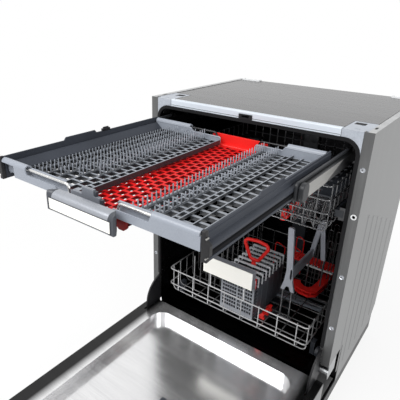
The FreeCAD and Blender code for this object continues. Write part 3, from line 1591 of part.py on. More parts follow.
parts = {
    "side_panels": side_panels(),
    "flange_screws": flange_screws(),
    "top_sheet": top_sheet(),
    "front_trim": front_trim(),
    "corner_brackets": corner_brackets(),
    "rear_brackets": rear_brackets(),
    "back_panel": back_panel(),
    "tub": tub(),
    "door_seal": door_seal(),
    "latch_striker": latch_striker(),
    "base_pan": base_pan(),
    "feet": feet(),
    "hinge_brackets": hinge_brackets(),
    "balance_springs": balance_springs(),
    "sump": sump(),
    "filter": filter_insert(),
    "pumps": pumps(),
    "inlet_valve": inlet_valve(),
    "water_softener": water_softener(),
    "salt_cap": salt_cap(),
    "feed_pipe": feed_pipe(),
    "lower_spray_arm": lower_spray_arm(),
    "ceiling_spray_arm": ceiling_spray_arm(),
    "drawer_rails_outer": drawer_rails_outer(),
    "drawer_rails_middle": drawer_rails_middle(),
    "upper_rack_rails": upper_rack_rails(),
    "door_outer_panel": door_outer_panel(),
    "door_liner": door_liner(),
    "control_strip": control_strip(),
    "button_left": button(button_places[0]),
    "button_middle": button(button_places[1]),
    "button_right": button(button_places[2]),
    "door_latch": door_latch(),
    "hinge_ears": hinge_ears(),
    "dispenser_body": dispenser_body(),
    "dispenser_lid": dispenser_lid(),
    "rinse_cap": rinse_cap(),
    "drawer_sides": drawer_sides(),
    "drawer_wires": drawer_wires(),
    "drawer_handle": drawer_handle(),
    "drawer_handle_plate": drawer_handle_plate(),
    "red_tray": red_tray(),
    "tray_left": tray_left(),
    "tray_right": tray_right(),
    "upper_rack_frame": upper_rack_frame(),
    "upper_rack_sliders": upper_rack_sliders(),
    "upper_rack_clips": upper_rack_clips(),
    "upper_rack_duct": upper_rack_duct(),
    "upper_spray_arm": upper_spray_arm(),
    "cup_shelf_left": mirrored(cup_shelf()),
    "cup_shelf_right": cup_shelf(),
    "lower_rack_frame": lower_rack_frame(),
    "wheel_carriers": wheel_carriers(),
    "wheels_front": wheel_pair(wheel_front_y),
    "wheels_rear": wheel_pair(wheel_back_y),
    "lower_handle_grip": lower_handle_grip(),
    "lower_handle_plate": lower_handle_plate(),
    "cutlery_basket": cutlery_basket(),
    "basket_handle": basket_handle(),
    "tall_holder": tall_holder(),
}

# The origin goes under the middle of the whole object, door included.
origin_shift = Vector(0, -(door_top_y + cabinet_depth) / 2, 0)
os.makedirs("parts", exist_ok=True)
for name, shape in parts.items():
    shape.translate(origin_shift)
    shape.exportStep("parts/" + name + ".step")
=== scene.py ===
import math
import bmesh
import bpy
from mathutils import Matrix, Vector


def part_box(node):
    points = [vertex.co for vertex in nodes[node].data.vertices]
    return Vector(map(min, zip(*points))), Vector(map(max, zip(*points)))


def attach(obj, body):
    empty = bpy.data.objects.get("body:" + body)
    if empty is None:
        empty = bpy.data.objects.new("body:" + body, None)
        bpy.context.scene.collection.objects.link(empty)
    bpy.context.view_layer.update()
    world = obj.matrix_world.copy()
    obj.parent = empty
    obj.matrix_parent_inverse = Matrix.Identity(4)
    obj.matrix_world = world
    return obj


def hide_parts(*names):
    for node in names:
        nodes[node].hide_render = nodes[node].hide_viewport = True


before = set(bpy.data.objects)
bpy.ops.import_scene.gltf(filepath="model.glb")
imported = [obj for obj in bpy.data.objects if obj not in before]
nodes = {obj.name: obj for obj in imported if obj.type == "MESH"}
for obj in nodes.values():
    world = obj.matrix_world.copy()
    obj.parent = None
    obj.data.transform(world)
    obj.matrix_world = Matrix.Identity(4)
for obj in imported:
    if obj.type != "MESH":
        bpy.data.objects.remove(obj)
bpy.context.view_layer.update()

# Studio.
# A white floor without an edge, a large soft light over the front and a weak one from the right,
# seen from standing height in front of the right corner.
MM = 0.001
SHIFT_Y = 70.5
CAMERA_PLACE = (500.4, -902.4, 1035.4)
CAMERA_YAW = math.radians(36.91)
CAMERA_PITCH = math.radians(23.38)
CAMERA_ROLL = math.radians(1.26)
FOCAL_PIXELS = 427.84
IMAGE_SIZE = 400
CENTRE_PIXEL = (184.8, 196.5)
SENSOR = 36
NEAR_CLIP = 0.01
WORLD_LIGHT = 0.62
WHITE = (1, 1, 1, 1)
FLOOR_PAINT = (0.96, 0.96, 0.96, 1)
FLOOR_DULL = 0.9
FLOOR_GLOW = 0.86
FLOOR_NEAR = 0.7
FLOOR_FAR = 1.9
FLOOR_HALF = 14


def at(x, y, z):
    """Scene point of a place in millimetres from the cabinet's front edge."""
    return Vector((x, y + SHIFT_Y, z)) * MM


def aim(place, yaw, pitch, roll):
    """Matrix of a camera that looks along yaw and pitch, turned by roll."""
    forward = Vector((-math.sin(yaw) * math.cos(pitch), math.cos(yaw) * math.cos(pitch), -math.sin(pitch)))
    side = Vector((math.cos(yaw), math.sin(yaw), 0))
    above = side.cross(forward)
    right = side * math.cos(roll) + above * math.sin(roll)
    up = above * math.cos(roll) - side * math.sin(roll)
    turn = Matrix((right, up, -forward)).transposed().to_4x4()
    turn.translation = place
    return turn


camera_data = bpy.data.cameras.new("camera")
camera = bpy.data.objects.new("camera", camera_data)
bpy.context.scene.collection.objects.link(camera)
camera.matrix_world = aim(at(*CAMERA_PLACE), CAMERA_YAW, CAMERA_PITCH, CAMERA_ROLL)
camera_data.sensor_width = SENSOR
camera_data.lens = FOCAL_PIXELS / IMAGE_SIZE * SENSOR
camera_data.shift_x = (IMAGE_SIZE / 2 - CENTRE_PIXEL[0]) / IMAGE_SIZE
camera_data.shift_y = (CENTRE_PIXEL[1] - IMAGE_SIZE / 2) / IMAGE_SIZE
camera_data.clip_start = NEAR_CLIP
bpy.context.scene.camera = camera
bpy.context.scene.view_settings.view_transform = "Standard"


def feed(tree, node, values):
    """Links sockets to a node's inputs and sets plain values on them."""
    for key, value in values.items():
        if isinstance(value, bpy.types.NodeSocket):
            tree.links.new(value, node.inputs[key])
        else:
            node.inputs[key].default_value = value


def math_node(tree, operation, *values):
    """Result of a math node on sockets or plain numbers."""
    node = tree.nodes.new("ShaderNodeMath")
    node.operation = operation
    feed(tree, node, dict(enumerate(values)))
    return node.outputs[0]


def map_range(tree, value, start, end, low, high):
    """Result of a map range node on sockets or plain numbers."""
    node = tree.nodes.new("ShaderNodeMapRange")
    feed(tree, node, {"Value": value, "From Min": start, "From Max": end, "To Min": low, "To Max": high})
    return node.outputs[0]


def seen_directly(tree):
    """Value that is 1 for camera, mirror and glass rays and 0 for the rays that light the object."""
    path = tree.nodes.new("ShaderNodeLightPath")
    seen = math_node(tree, "MAXIMUM", path.outputs["Is Camera Ray"], path.outputs["Is Glossy Ray"])
    return math_node(tree, "MAXIMUM", seen, path.outputs["Is Transmission Ray"])


studio = bpy.data.worlds.new("studio")
bpy.context.scene.world = studio
studio.use_nodes = True
tree = studio.node_tree
sky_strength = math_node(tree, "MULTIPLY_ADD", seen_directly(tree), 1 - WORLD_LIGHT, WORLD_LIGHT)
feed(tree, tree.nodes["Background"], {"Color": WHITE, "Strength": sky_strength})


def area_light(name, place, target, size, power):
    data = bpy.data.lights.new(name, "AREA")
    data.shape = "RECTANGLE"
    data.size, data.size_y = size
    data.energy = power
    lamp = bpy.data.objects.new(name, data)
    bpy.context.scene.collection.objects.link(lamp)
    direction = Vector(target) - Vector(place)
    lamp.matrix_world = Matrix.Translation(place) @ direction.to_track_quat("-Z", "Y").to_matrix().to_4x4()


area_light("key", (-0.7, -1.7, 2.6), (0, 0, 0.6), (1.8, 1.3), 58)
area_light("fill", (2.2, -0.9, 1.7), (0.1, 0.1, 0.5), (1.2, 1.6), 20)

floor_mesh = bpy.data.meshes.new("floor")
floor_corners = [(x * FLOOR_HALF, y * FLOOR_HALF, 0) for x, y in ((-1, -1), (1, -1), (1, 1), (-1, 1))]
floor_mesh.from_pydata(floor_corners, [], [(0, 1, 2, 3)])
floor = bpy.data.objects.new("floor", floor_mesh)
bpy.context.scene.collection.objects.link(floor)
floor_look = bpy.data.materials.new("floor_look")
floor_look.use_nodes = True
floor_mesh.materials.append(floor_look)
tree = floor_look.node_tree
paint = tree.nodes["Principled BSDF"]
feed(tree, paint, {"Base Color": FLOOR_PAINT, "Roughness": FLOOR_DULL})
glow = tree.nodes.new("ShaderNodeEmission")
feed(tree, glow, {"Color": WHITE})
away = tree.nodes.new("ShaderNodeVectorMath")
away.operation = "LENGTH"
feed(tree, away, {0: tree.nodes.new("ShaderNodeTexCoord").outputs["Object"]})
fade = map_range(tree, away.outputs["Value"], FLOOR_NEAR, FLOOR_FAR, FLOOR_GLOW, 1)
mixed = tree.nodes.new("ShaderNodeMixShader")
feed(tree, mixed, {"Fac": math_node(tree, "MULTIPLY", fade, seen_directly(tree)),
                   1: paint.outputs["BSDF"], 2: glow.outputs["Emission"]})
feed(tree, tree.nodes["Material Output"], {"Surface": mixed.outputs["Shader"]})

# Cabinet sheets.
# Both side panels and the back are folded from bare galvanised sheet with rolling streaks up and down,
# and long shallow beads pressed into the sides keep them stiff.
FINE_DETAIL = 4
SLOW_SCALE = 7
SLOW_DETAIL = 3
SLOW_SHARE = 0.55
GRAIN_SPAN = (0.32, 0.68)
BUMP_DEPTH = 0.0004
SHARP_ANGLE = math.radians(38)
BENCH = bmesh.new()


def grain_group():
    """Group: fine grain and slow mottling of a moulded, coated or rolled surface."""
    tree = bpy.data.node_groups.new("grain", "ShaderNodeTree")
    for way, kind, names in (("INPUT", "Color", ("Light", "Dark")),
                             ("INPUT", "Float", ("Scale", "Low Gloss", "High Gloss")),
                             ("INPUT", "Vector", ("Stretch",)),
                             ("OUTPUT", "Color", ("Color",)),
                             ("OUTPUT", "Float", ("Roughness", "Height"))):
        for name in names:
            tree.interface.new_socket(name, in_out=way, socket_type="NodeSocket" + kind)
    inside = tree.nodes.new("NodeGroupInput").outputs
    stretch = tree.nodes.new("ShaderNodeVectorMath")
    stretch.operation = "MULTIPLY"
    feed(tree, stretch, {0: tree.nodes.new("ShaderNodeTexCoord").outputs["Object"], 1: inside["Stretch"]})
    spot = stretch.outputs[0]
    fine = tree.nodes.new("ShaderNodeTexNoise")
    feed(tree, fine, {"Vector": spot, "Scale": inside["Scale"], "Detail": FINE_DETAIL})
    slow = tree.nodes.new("ShaderNodeTexNoise")
    feed(tree, slow, {"Vector": spot, "Scale": SLOW_SCALE, "Detail": SLOW_DETAIL})
    mottling = math_node(tree, "MULTIPLY", slow.outputs["Fac"], SLOW_SHARE)
    blend = math_node(tree, "MULTIPLY_ADD", fine.outputs["Fac"], 1 - SLOW_SHARE, mottling)
    spread = map_range(tree, blend, *GRAIN_SPAN, 0, 1)
    mix = tree.nodes.new("ShaderNodeMix")
    mix.data_type = "RGBA"
    feed(tree, mix, {"Factor": spread, "A": inside["Dark"], "B": inside["Light"]})
    gloss = map_range(tree, spread, 0, 1, inside["Low Gloss"], inside["High Gloss"])
    outside = tree.nodes.new("NodeGroupOutput")
    feed(tree, outside, {"Color": mix.outputs["Result"], "Roughness": gloss, "Height": fine.outputs["Fac"]})
    return tree


GRAIN = grain_group()


def look(name, dark, light, gloss, scale=900, bump=0.08, stretch=(1, 1, 1), metallic=0, coat=0,
         shine=0.5):
    """Finish: the grain group on a principled shader."""
    material = bpy.data.materials.new(name)
    material.use_nodes = True
    tree = material.node_tree
    group = tree.nodes.new("ShaderNodeGroup")
    group.node_tree = GRAIN
    feed(tree, group, {"Light": (*light, 1), "Dark": (*dark, 1), "Scale": scale, "Stretch": stretch,
                       "Low Gloss": gloss[0], "High Gloss": gloss[1]})
    raised = tree.nodes.new("ShaderNodeBump")
    feed(tree, raised, {"Strength": bump, "Distance": BUMP_DEPTH, "Height": group.outputs["Height"]})
    feed(tree, tree.nodes["Principled BSDF"],
         {"Metallic": metallic, "Coat Weight": coat, "Specular IOR Level": shine,
          "Base Color": group.outputs["Color"], "Roughness": group.outputs["Roughness"],
          "Normal": raised.outputs["Normal"]})
    return material


# Mostly used here to paint shade and light into finishes.
def shaded(material, source, axis, start, end, low, high):
    """Scales a finish's colour from low to high between two levels of a place or a normal.

    Along X the level counts from the middle to both sides.
    """
    tree = material.node_tree
    shader = tree.nodes["Principled BSDF"]
    parts = tree.nodes.new("ShaderNodeSeparateXYZ")
    feed(tree, parts, {0: tree.nodes.new("ShaderNodeTexCoord").outputs[source]})
    level = parts.outputs[axis]
    if axis == "X":
        level = math_node(tree, "ABSOLUTE", level)
    scale = tree.nodes.new("ShaderNodeVectorMath")
    scale.operation = "SCALE"
    feed(tree, scale, {0: shader.inputs["Base Color"].links[0].from_socket,
                       "Scale": map_range(tree, level, start, end, low, high)})
    feed(tree, shader, {"Base Color": scale.outputs[0]})


def dress(material, *names):
    """Gives carried-over pieces a finish."""
    for name in names:
        data = nodes[name].data
        data.materials.clear()
        data.materials.append(material)


side_sheet = look("side_sheet", (0.208, 0.211, 0.213), (0.31, 0.313, 0.315), (0.36, 0.52), 60, 0.05,
                  stretch=(6, 6, 0.12), metallic=0.7)
# Painted shade and light: faces turned to the front are painted darker and faces turned upwards are painted
# lighter.
shaded(side_sheet, "Normal", "Y", -0.7, -0.3, 0.55, 1)
shaded(side_sheet, "Normal", "Z", 0.5, 0.9, 1, 1.9)
dress(side_sheet, "side_panels", "back_panel")


def place(plane, first, second, level):
    """Scene point of an outline drawn across the named axis."""
    if plane == "x":
        return at(level, first, second)
    if plane == "y":
        return at(first, level, second)
    return at(first, second, level)


def skin(sections, closed=False):
    """Solid on the bench through like sections, shut at both ends unless it closes on itself."""
    rings = [[BENCH.verts.new(point) for point in section] for section in sections]
    pairs = list(zip(rings, rings[1:]))
    if closed:
        pairs.append((rings[-1], rings[0]))
    else:
        BENCH.faces.new(rings[0][::-1])
        BENCH.faces.new(rings[-1])
    for first, second in pairs:
        for i in range(len(first)):
            j = (i + 1) % len(first)
            BENCH.faces.new((first[i], first[j], second[j], second[i]))


def prism(plane, outline, low, high):
    """Closed solid between two levels."""
    skin([[place(plane, *point, level) for point in outline] for level in (low, high)])


def slab(x0, x1, y0, y1, z0, z1):
    prism("z", [(x0, y0), (x1, y0), (x1, y1), (x0, y1)], z0, z1)


def lathe(plane, centre, profile, sides=20, ring=False):
    """Turned solid about an axis from radii and levels; a ring's profile closes on itself."""
    ways = [(math.cos(2 * math.pi * step / sides), math.sin(2 * math.pi * step / sides)) for step in range(sides)]
    skin([[place(plane, centre[0] + radius * cos, centre[1] + radius * sin, level) for cos, sin in ways]
          for radius, level in profile], closed=ring)


def piece(name, material, body, bevel=0, stands_for=()):
    """Lifts what is drawn on the bench off as a finished piece on its body, its edges broken by a bevel."""
    bmesh.ops.recalc_face_normals(BENCH, faces=BENCH.faces)
    mesh = bpy.data.meshes.new(name)
    BENCH.to_mesh(mesh)
    BENCH.clear()
    mesh.materials.append(material)
    for polygon in mesh.polygons:
        polygon.use_smooth = True
    made = bpy.data.objects.new(name, mesh)
    bpy.context.scene.collection.objects.link(made)
    if bevel > 0:
        broken = made.modifiers.new("broken_edges", "BEVEL")
        broken.width = bevel * MM
        broken.segments = 2
        broken.limit_method = "ANGLE"
        broken.angle_limit = SHARP_ANGLE
        made.modifiers.new("even_shading", "WEIGHTED_NORMAL")
    else:
        mesh.set_sharp_from_angle(angle=SHARP_ANGLE)
    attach(made, body)
    if stands_for:
        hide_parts(*stands_for)


BEAD_PLACES = ((96, 598), (150, 578), (205, 555), (262, 530), (335, 498), (410, 465))
BEAD_SECTION = ((-1, 0), (-0.5, 0.75), (0, 1), (0.5, 0.75), (1, 0))
BEAD_FOOT = 112
BEAD_HALF = 7
BEAD_RISE = 1.5
BEAD_SINK = 0.1
PANEL_X = 299
for side in (-1, 1):
    for bead_y, bead_top in BEAD_PLACES:
        section = [(side * (PANEL_X - BEAD_SINK + BEAD_RISE * share_up), bead_y + BEAD_HALF * share_across)
                   for share_across, share_up in BEAD_SECTION]
        prism("z", section, BEAD_FOOT, bead_top)
piece("side_beads", side_sheet, "cabinet", bevel=0.4)

# Flange screws and plug rings.
# Pan-head screws of bright zinc hold the flanges to the tub; a white plastic ring lines the plug hole
# between them.
SCREW_HEIGHTS = (737, 470, 320)
SCREW_INSET = 5
SCREW_HEAD = [(5.6, 0), (5.6, -0.5), (4.6, -0.7), (4.2, -1.5), (2.6, -2)]
CROSS_LONG = 2.4
CROSS_WIDE = 0.6
CROSS_DEPTH = (-2.06, -1.2)
PLUG_HEIGHT = 627
PLUG_RING = [(3.6, 1), (3.6, -0.6), (4.4, -1.2), (6.2, -1.2), (6.8, -0.5), (6.8, 0)]
screw_zinc = look("screw_zinc", (0.40, 0.42, 0.46), (0.60, 0.62, 0.66), (0.18, 0.32), 500, 0.04, metallic=1)
recess_painted_shade = look("recess_painted_shade", (0.02, 0.02, 0.02), (0.05, 0.05, 0.05), (0.5, 0.6), 500, 0.02)
screw_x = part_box("flange_screws")[1].x / MM - SCREW_INSET
screw_places = [(x, height) for x in (-screw_x, screw_x) for height in SCREW_HEIGHTS]
for spot in screw_places:
    lathe("y", spot, SCREW_HEAD, sides=24)
piece("flange_screw_heads", screw_zinc, "cabinet", stands_for=("flange_screws",))
# Painted shade: the screw crosses are dark slabs laid on the heads, standing for the shade in their cross
# recesses.
for x, height in screw_places:
    for long, tall in ((CROSS_LONG, CROSS_WIDE), (CROSS_WIDE, CROSS_LONG)):
        slab(x - long, x + long, *CROSS_DEPTH, height - tall, height + tall)
piece("screw_recess_shade", recess_painted_shade, "cabinet")

white_plastic = look("white_plastic", (0.78, 0.79, 0.80), (0.88, 0.89, 0.90), (0.38, 0.5), bump=0.05)
for x in (-screw_x, screw_x):
    lathe("y", (x, PLUG_HEIGHT), PLUG_RING, sides=28, ring=True)
piece("plug_rings", white_plastic, "cabinet")

# Base, hinges and springs.
# A black plastic pan on four levelling feet carries the tub, the steel door hinges and the springs
# that balance the door.
black_plastic = look("black_plastic", (0.006, 0.006, 0.007), (0.016, 0.016, 0.018), (0.34, 0.5), 800, 0.1,
                     shine=0.35)
dress(black_plastic, "base_pan", "feet")
hinge_steel = look("hinge_steel", (0.34, 0.35, 0.36), (0.50, 0.51, 0.52), (0.3, 0.45), 90, 0.06,
                   stretch=(4, 4, 0.4), metallic=1)
dress(hinge_steel, "hinge_brackets")
SPRING_TURNS = 26
SPRING_STEPS = 10
SPRING_INSET = 8
SPRING_TAIL = 16
SPRING_RADIUS = 6
SPRING_WIRE = 1.6


def tube(points, radius, sides=8, closed=False):
    """Round bar along points, with its end faces shut unless it closes on itself."""
    spots = [at(*point) for point in points]
    count = len(spots)
    sections = []
    normal = None
    for i, spot in enumerate(spots):
        before = spots[i - 1] if i > 0 or closed else spot
        after = spots[(i + 1) % count] if i < count - 1 or closed else spot
        along = (after - before).normalized()
        if normal is None:
            helper = Vector((0, 0, 1)) if abs(along.z) < 0.9 else Vector((1, 0, 0))
            normal = along.cross(helper).normalized()
        else:
            normal = (normal - along * normal.dot(along)).normalized()
        across = along.cross(normal)
        turns = [2 * math.pi * step / sides for step in range(sides)]
        sections.append([spot + (normal * math.cos(turn) + across * math.sin(turn)) * radius * MM
                         for turn in turns])
    skin(sections, closed)


spring_low, spring_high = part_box("balance_springs")
spring_y = (spring_low.y + spring_high.y) / 2 / MM - SHIFT_Y
foot = spring_low.z / MM
head = spring_high.z / MM
for side in (-1, 1):
    coil_x = side * (spring_high.x / MM - SPRING_INSET)
    tube([(coil_x, spring_y, foot), (coil_x, spring_y, foot + SPRING_TAIL)], SPRING_WIRE)
    tube([(coil_x, spring_y, head - SPRING_TAIL), (coil_x, spring_y, head)], SPRING_WIRE)
    helix = []
    for step in range(SPRING_TURNS * SPRING_STEPS + 1):
        turn = 2 * math.pi * step / SPRING_STEPS
        rise = foot + SPRING_TAIL + (head - foot - 2 * SPRING_TAIL) * step / (SPRING_TURNS * SPRING_STEPS)
        helix.append((coil_x + SPRING_RADIUS * math.cos(turn), spring_y + SPRING_RADIUS * math.sin(turn), rise))
    tube(helix, SPRING_WIRE, sides=6)
piece("door_springs", hinge_steel, "cabinet", stands_for=("balance_springs",))

# Tub.
# The wash tub is drawn from thin stainless sheet, painted nearly black inside as painted shade; a hollow rubber
# seal runs round its mouth.
tub_painted_shade = look("tub_painted_shade", (0.006, 0.006, 0.0066), (0.020, 0.020, 0.0215), (0.2, 0.36), 50, 0.05,
                 stretch=(0.3, 5, 5), metallic=1)
dress(tub_painted_shade, "tub")
rubber = look("rubber", (0.004, 0.004, 0.005), (0.010, 0.010, 0.011), (0.55, 0.75), 700, 0.12, shine=0.2)
dress(rubber, "door_seal")

# Water parts.
# Sump, pumps, valve and softener are moulded plastic in the base under the tub, and the feed pipe climbs
# its back wall; spray arms, filter and salt cap are grey-blue plastic and turn on their seats.
slate = look("slate", (0.030, 0.034, 0.042), (0.060, 0.066, 0.080), (0.32, 0.46), shine=0.4)
grey_blue = look("grey_blue", (0.27, 0.30, 0.35), (0.37, 0.40, 0.46), (0.32, 0.45))
dress(slate, "sump", "pumps", "feed_pipe")
dress(white_plastic, "inlet_valve", "water_softener")
dress(grey_blue, "filter", "salt_cap", "lower_spray_arm", "ceiling_spray_arm")

# Top of the cabinet.
# A coated steel sheet covers the tub; a pale plastic trim, two corner brackets and the black latch
# striker finish its front edge, two white stops its back corners, and rubber strips seal the joints.
top_sheet = look("top_sheet", (0.081, 0.081, 0.083), (0.090, 0.090, 0.093), (0.24, 0.29), 60, 0.01,
                 stretch=(0.15, 6, 6), metallic=0.35)
# Painted shade and reflection: the sheet's colour darkens towards its front edge and lightens a little towards
# the back.
shaded(top_sheet, "Object", "Y", 0.08, 0.32, 0.8, 1.04)
dress(top_sheet, "top_sheet")
trim_plastic = look("trim_plastic", (0.56, 0.61, 0.68), (0.66, 0.71, 0.77), (0.35, 0.45), bump=0.06)
dress(trim_plastic, "front_trim")
bracket_plastic = look("bracket_plastic", (0.33, 0.36, 0.41), (0.48, 0.51, 0.56), (0.35, 0.5), 260, 0.1)
dress(bracket_plastic, "corner_brackets")
dress(white_plastic, "rear_brackets")
dress(black_plastic, "latch_striker")
BRACKET_EDGE = 231
BRACKET_BACK = 90
SHEET_TOP = 817
SEAM = (SHEET_TOP - 0.5, SHEET_TOP + 0.15)
# The first and the last two side strips are black fills under and on the bracket's holes and in the side flange's
# slot, painted shade for those holes; the others are dark joint strips.
SIDE_STRIPS = (
    (236, 281, 8, 84, 812.8, 813.9),
    (BRACKET_EDGE - 0.6, BRACKET_EDGE + 0.5, -0.15, 0.5, 800.4, 817.4),
    (BRACKET_EDGE - 0.6, BRACKET_EDGE + 0.5, 0.4, BRACKET_BACK, *SEAM),
    (BRACKET_EDGE, 283.6, BRACKET_BACK - 0.6, BRACKET_BACK + 0.8, *SEAM),
    (281.6, 283.8, BRACKET_BACK, 470, *SEAM),
    (286.5, 291.5, 36, 54, 817.8, 818.12),
    (238, 262, 58, 78, SHEET_TOP - 0.4, SHEET_TOP + 0.12),
)
FRONT_STRIP = (-229, 229, -0.14, 0.3, 803.2, 804.2)
for side in (-1, 1):
    for x0, x1, *rest in SIDE_STRIPS:
        slab(*sorted((side * x0, side * x1)), *rest)
slab(*FRONT_STRIP)
piece("seams_and_hole_shade", rubber, "cabinet", bevel=0.1)

# Drawer rails.
# Bright rolled-steel telescopic rails, painted dark all along as painted shade: the outer pair sits on the tub
# walls, the middle pair runs half as far as the drawer and carries bright cheeks that are partly a painted
# highlight, moulded end stops and a slate guide bar.
rail_steel = look("rail_steel", (0.27, 0.266, 0.255), (0.40, 0.396, 0.38), (0.3, 0.42), 80, 0.05,
                  stretch=(5, 0.2, 5), metallic=0.7)
rail_painted_shade = look("rail_painted_shade", (0.05, 0.05, 0.052), (0.11, 0.11, 0.114), (0.3, 0.42), 80, 0.05,
                  stretch=(5, 0.2, 5), metallic=1)
dress(rail_painted_shade, "drawer_rails_outer", "drawer_rails_middle", "upper_rack_rails")
CHEEK_LINE = [(-224, 740.9), (-136, 740.9), (-44, 766.1), (-224, 766.1)]
CHEEK_X = (257.2, 257.92)
STOP_BLOCKS = (
    ((-251.5, -232, 736, 773, 9), 243.3, 248.6),
    ((-246, -219, 735, 769.5, 11), 249.2, 258.5),
    ((-243, -221, 744, 760, 4), 246, 252),
    ((-238, 20, 766.2, 772.4, 2.8), 243.3, 248.9),
)


def rounded(first0, first1, second0, second1, radius, steps=5):
    """Outline of a rectangle with round corners."""
    points = []
    for cx, cy, start in ((first1 - radius, second1 - radius, 0), (first0 + radius, second1 - radius, 0.5),
                          (first0 + radius, second0 + radius, 1), (first1 - radius, second0 + radius, 1.5)):
        for step in range(steps + 1):
            turn = math.pi * (start + 0.5 * step / steps)
            points.append((cx + radius * math.cos(turn), cy + radius * math.sin(turn)))
    return points


# The cheeks stand in part for the lit front of the middle rails, a painted highlight; their slanted back edge
# follows where the shade begins.
for side in (-1, 1):
    prism("x", CHEEK_LINE, side * CHEEK_X[0], side * CHEEK_X[1])
piece("rail_cheeks_painted_light", rail_steel, "drawer_rails_middle", bevel=0.1)
for side in (-1, 1):
    for block, inner, outer in STOP_BLOCKS:
        prism("x", rounded(*block), side * inner, side * outer)
stop_dark = look("stop_dark", (0.014, 0.015, 0.017), (0.028, 0.030, 0.034), (0.36, 0.5), shine=0.3)
piece("rail_end_stops", stop_dark, "drawer_rails_middle", bevel=1)

# Door.
# A bare sheet outer panel to carry the kitchen front, a polished stainless liner with a shallow dish,
# a black control strip on the top edge and black hinge ears at the foot.
liner_steel = look("liner_steel", (0.74, 0.74, 0.75), (0.88, 0.88, 0.885), (0.14, 0.26), 60, 0.04,
                   stretch=(0.2, 5, 5), metallic=0.85)
shaded(liner_steel, "Object", "X", 0.236, 0.262, 1, 0.04)
dress(liner_steel, "door_liner")
door_sheet = look("door_sheet", (0.222, 0.225, 0.227), (0.295, 0.298, 0.30), (0.36, 0.52), 60, 0.05,
                  stretch=(6, 0.12, 6), metallic=0.7)
dress(door_sheet, "door_outer_panel")
dress(black_plastic, "control_strip", "hinge_ears")
dress(rail_steel, "door_latch")
dress(slate, "dispenser_body")
dress(grey_blue, "button_left", "button_middle", "button_right", "dispenser_lid", "rinse_cap")

# Cutlery drawer frame.
# Two dark extruded side profiles with grooves and a raised step, joined by two bent steel wires that
# dip under the centre tray; black caps close the profiles and a small clip sits on the left one.
profile_dark = look("profile_dark", (0.030, 0.034, 0.043), (0.056, 0.063, 0.079), (0.4, 0.55), bump=0.06,
                    shine=0.15)
channel_black = look("channel_black", (0.004, 0.0042, 0.005), (0.010, 0.0105, 0.012), (0.6, 0.75), bump=0.06,
                     shine=0.06)
wire_steel = look("wire_steel", (0.60, 0.60, 0.59), (0.80, 0.80, 0.79), (0.12, 0.25), 400, 0.03, metallic=1)
wire_painted_shade = look("wire_painted_shade", (0.02, 0.02, 0.021), (0.05, 0.05, 0.052), (0.2, 0.3), 400, 0.03, metallic=1)
FRONT_WIRE = -497
BACK_WIRE = -57
WIRE_HIGH = 771
WIRE_LOW = 742
WIRE_BEND = 8
WIRE_RADIUS = 2.4
DIP_LEFT = -42
DIP_RIGHT = 72
SIDE_INNER = 230
SIDE_WALL = 3
SIDE_FRONT = -505
SIDE_BACK = -52
SIDE_LOW = 736
SIDE_TOP = 780
STEP_TOP = 786
STEP_LINE = [(SIDE_FRONT, SIDE_LOW), (SIDE_FRONT, SIDE_TOP), (-357, SIDE_TOP), (-352, STEP_TOP),
             (-272, STEP_TOP), (-267, SIDE_TOP), (SIDE_BACK, SIDE_TOP), (SIDE_BACK, SIDE_LOW)]
LOWER_LINE = [(2.6, 736), (9, 736), (9, 741), (2.6, 741)]
GROOVE_LINE = [(2.6, 741), (6.4, 741), (6.4, 743.6), (8, 745.2), (12.6, 746.4), (12.6, 751.6),
               (11.2, 752.6), (11.2, 754.6), (2.6, 754.6)]
UPPER_LINE = [(2.6, 754.6), (11.2, 754.6), (12.6, 755.6), (12.6, 760.8), (10.4, 762.4), (5.4, 763.6),
              (5.4, 766.8), (4.4, 768), (4.4, 775), (2.6, 776.5)]
CAP_LINE = [(229.6, 735.6), (239.4, 735.6), (239.4, 741), (236.8, 744), (242.9, 745.6), (242.9, 762),
            (236.5, 766), (235.5, 780.5), (229.6, 780.5)]
CAP_Y = (-505.4, -497)
CLIP_BLOCKS = ((-235, -229.2, -250, -226, 778.5, 785), (-234, -230.2, -246, -230, 784, 788))
PIN_LINE = [(0.7, -505.8), (1.3, -505.5), (1.3, -500), (0.7, -499.5)]
PIN_X = 237.6
PIN_HEIGHTS = (741.5, 771)
for side in (-1, 1):
    prism("x", STEP_LINE, side * SIDE_INNER, side * (SIDE_INNER + SIDE_WALL))
    for line in (LOWER_LINE, UPPER_LINE):
        prism("y", [(side * (SIDE_INNER + out), z) for out, z in line], SIDE_FRONT, SIDE_BACK)
piece("drawer_side_profiles", profile_dark, "drawer", bevel=0.5, stands_for=("drawer_sides",))
for side in (-1, 1):
    prism("y", [(side * (SIDE_INNER + out), z) for out, z in GROOVE_LINE], SIDE_FRONT, SIDE_BACK)
piece("drawer_side_channels", channel_black, "drawer", bevel=0.5)
for side in (-1, 1):
    prism("y", [(side * x, z) for x, z in CAP_LINE], *CAP_Y)
for block in CLIP_BLOCKS:
    slab(*block)
piece("side_end_caps", black_plastic, "drawer", bevel=1.2)
for side in (-1, 1):
    for height in PIN_HEIGHTS:
        lathe("y", (side * PIN_X, height), PIN_LINE, sides=14)
piece("side_cap_pins", rail_steel, "drawer")


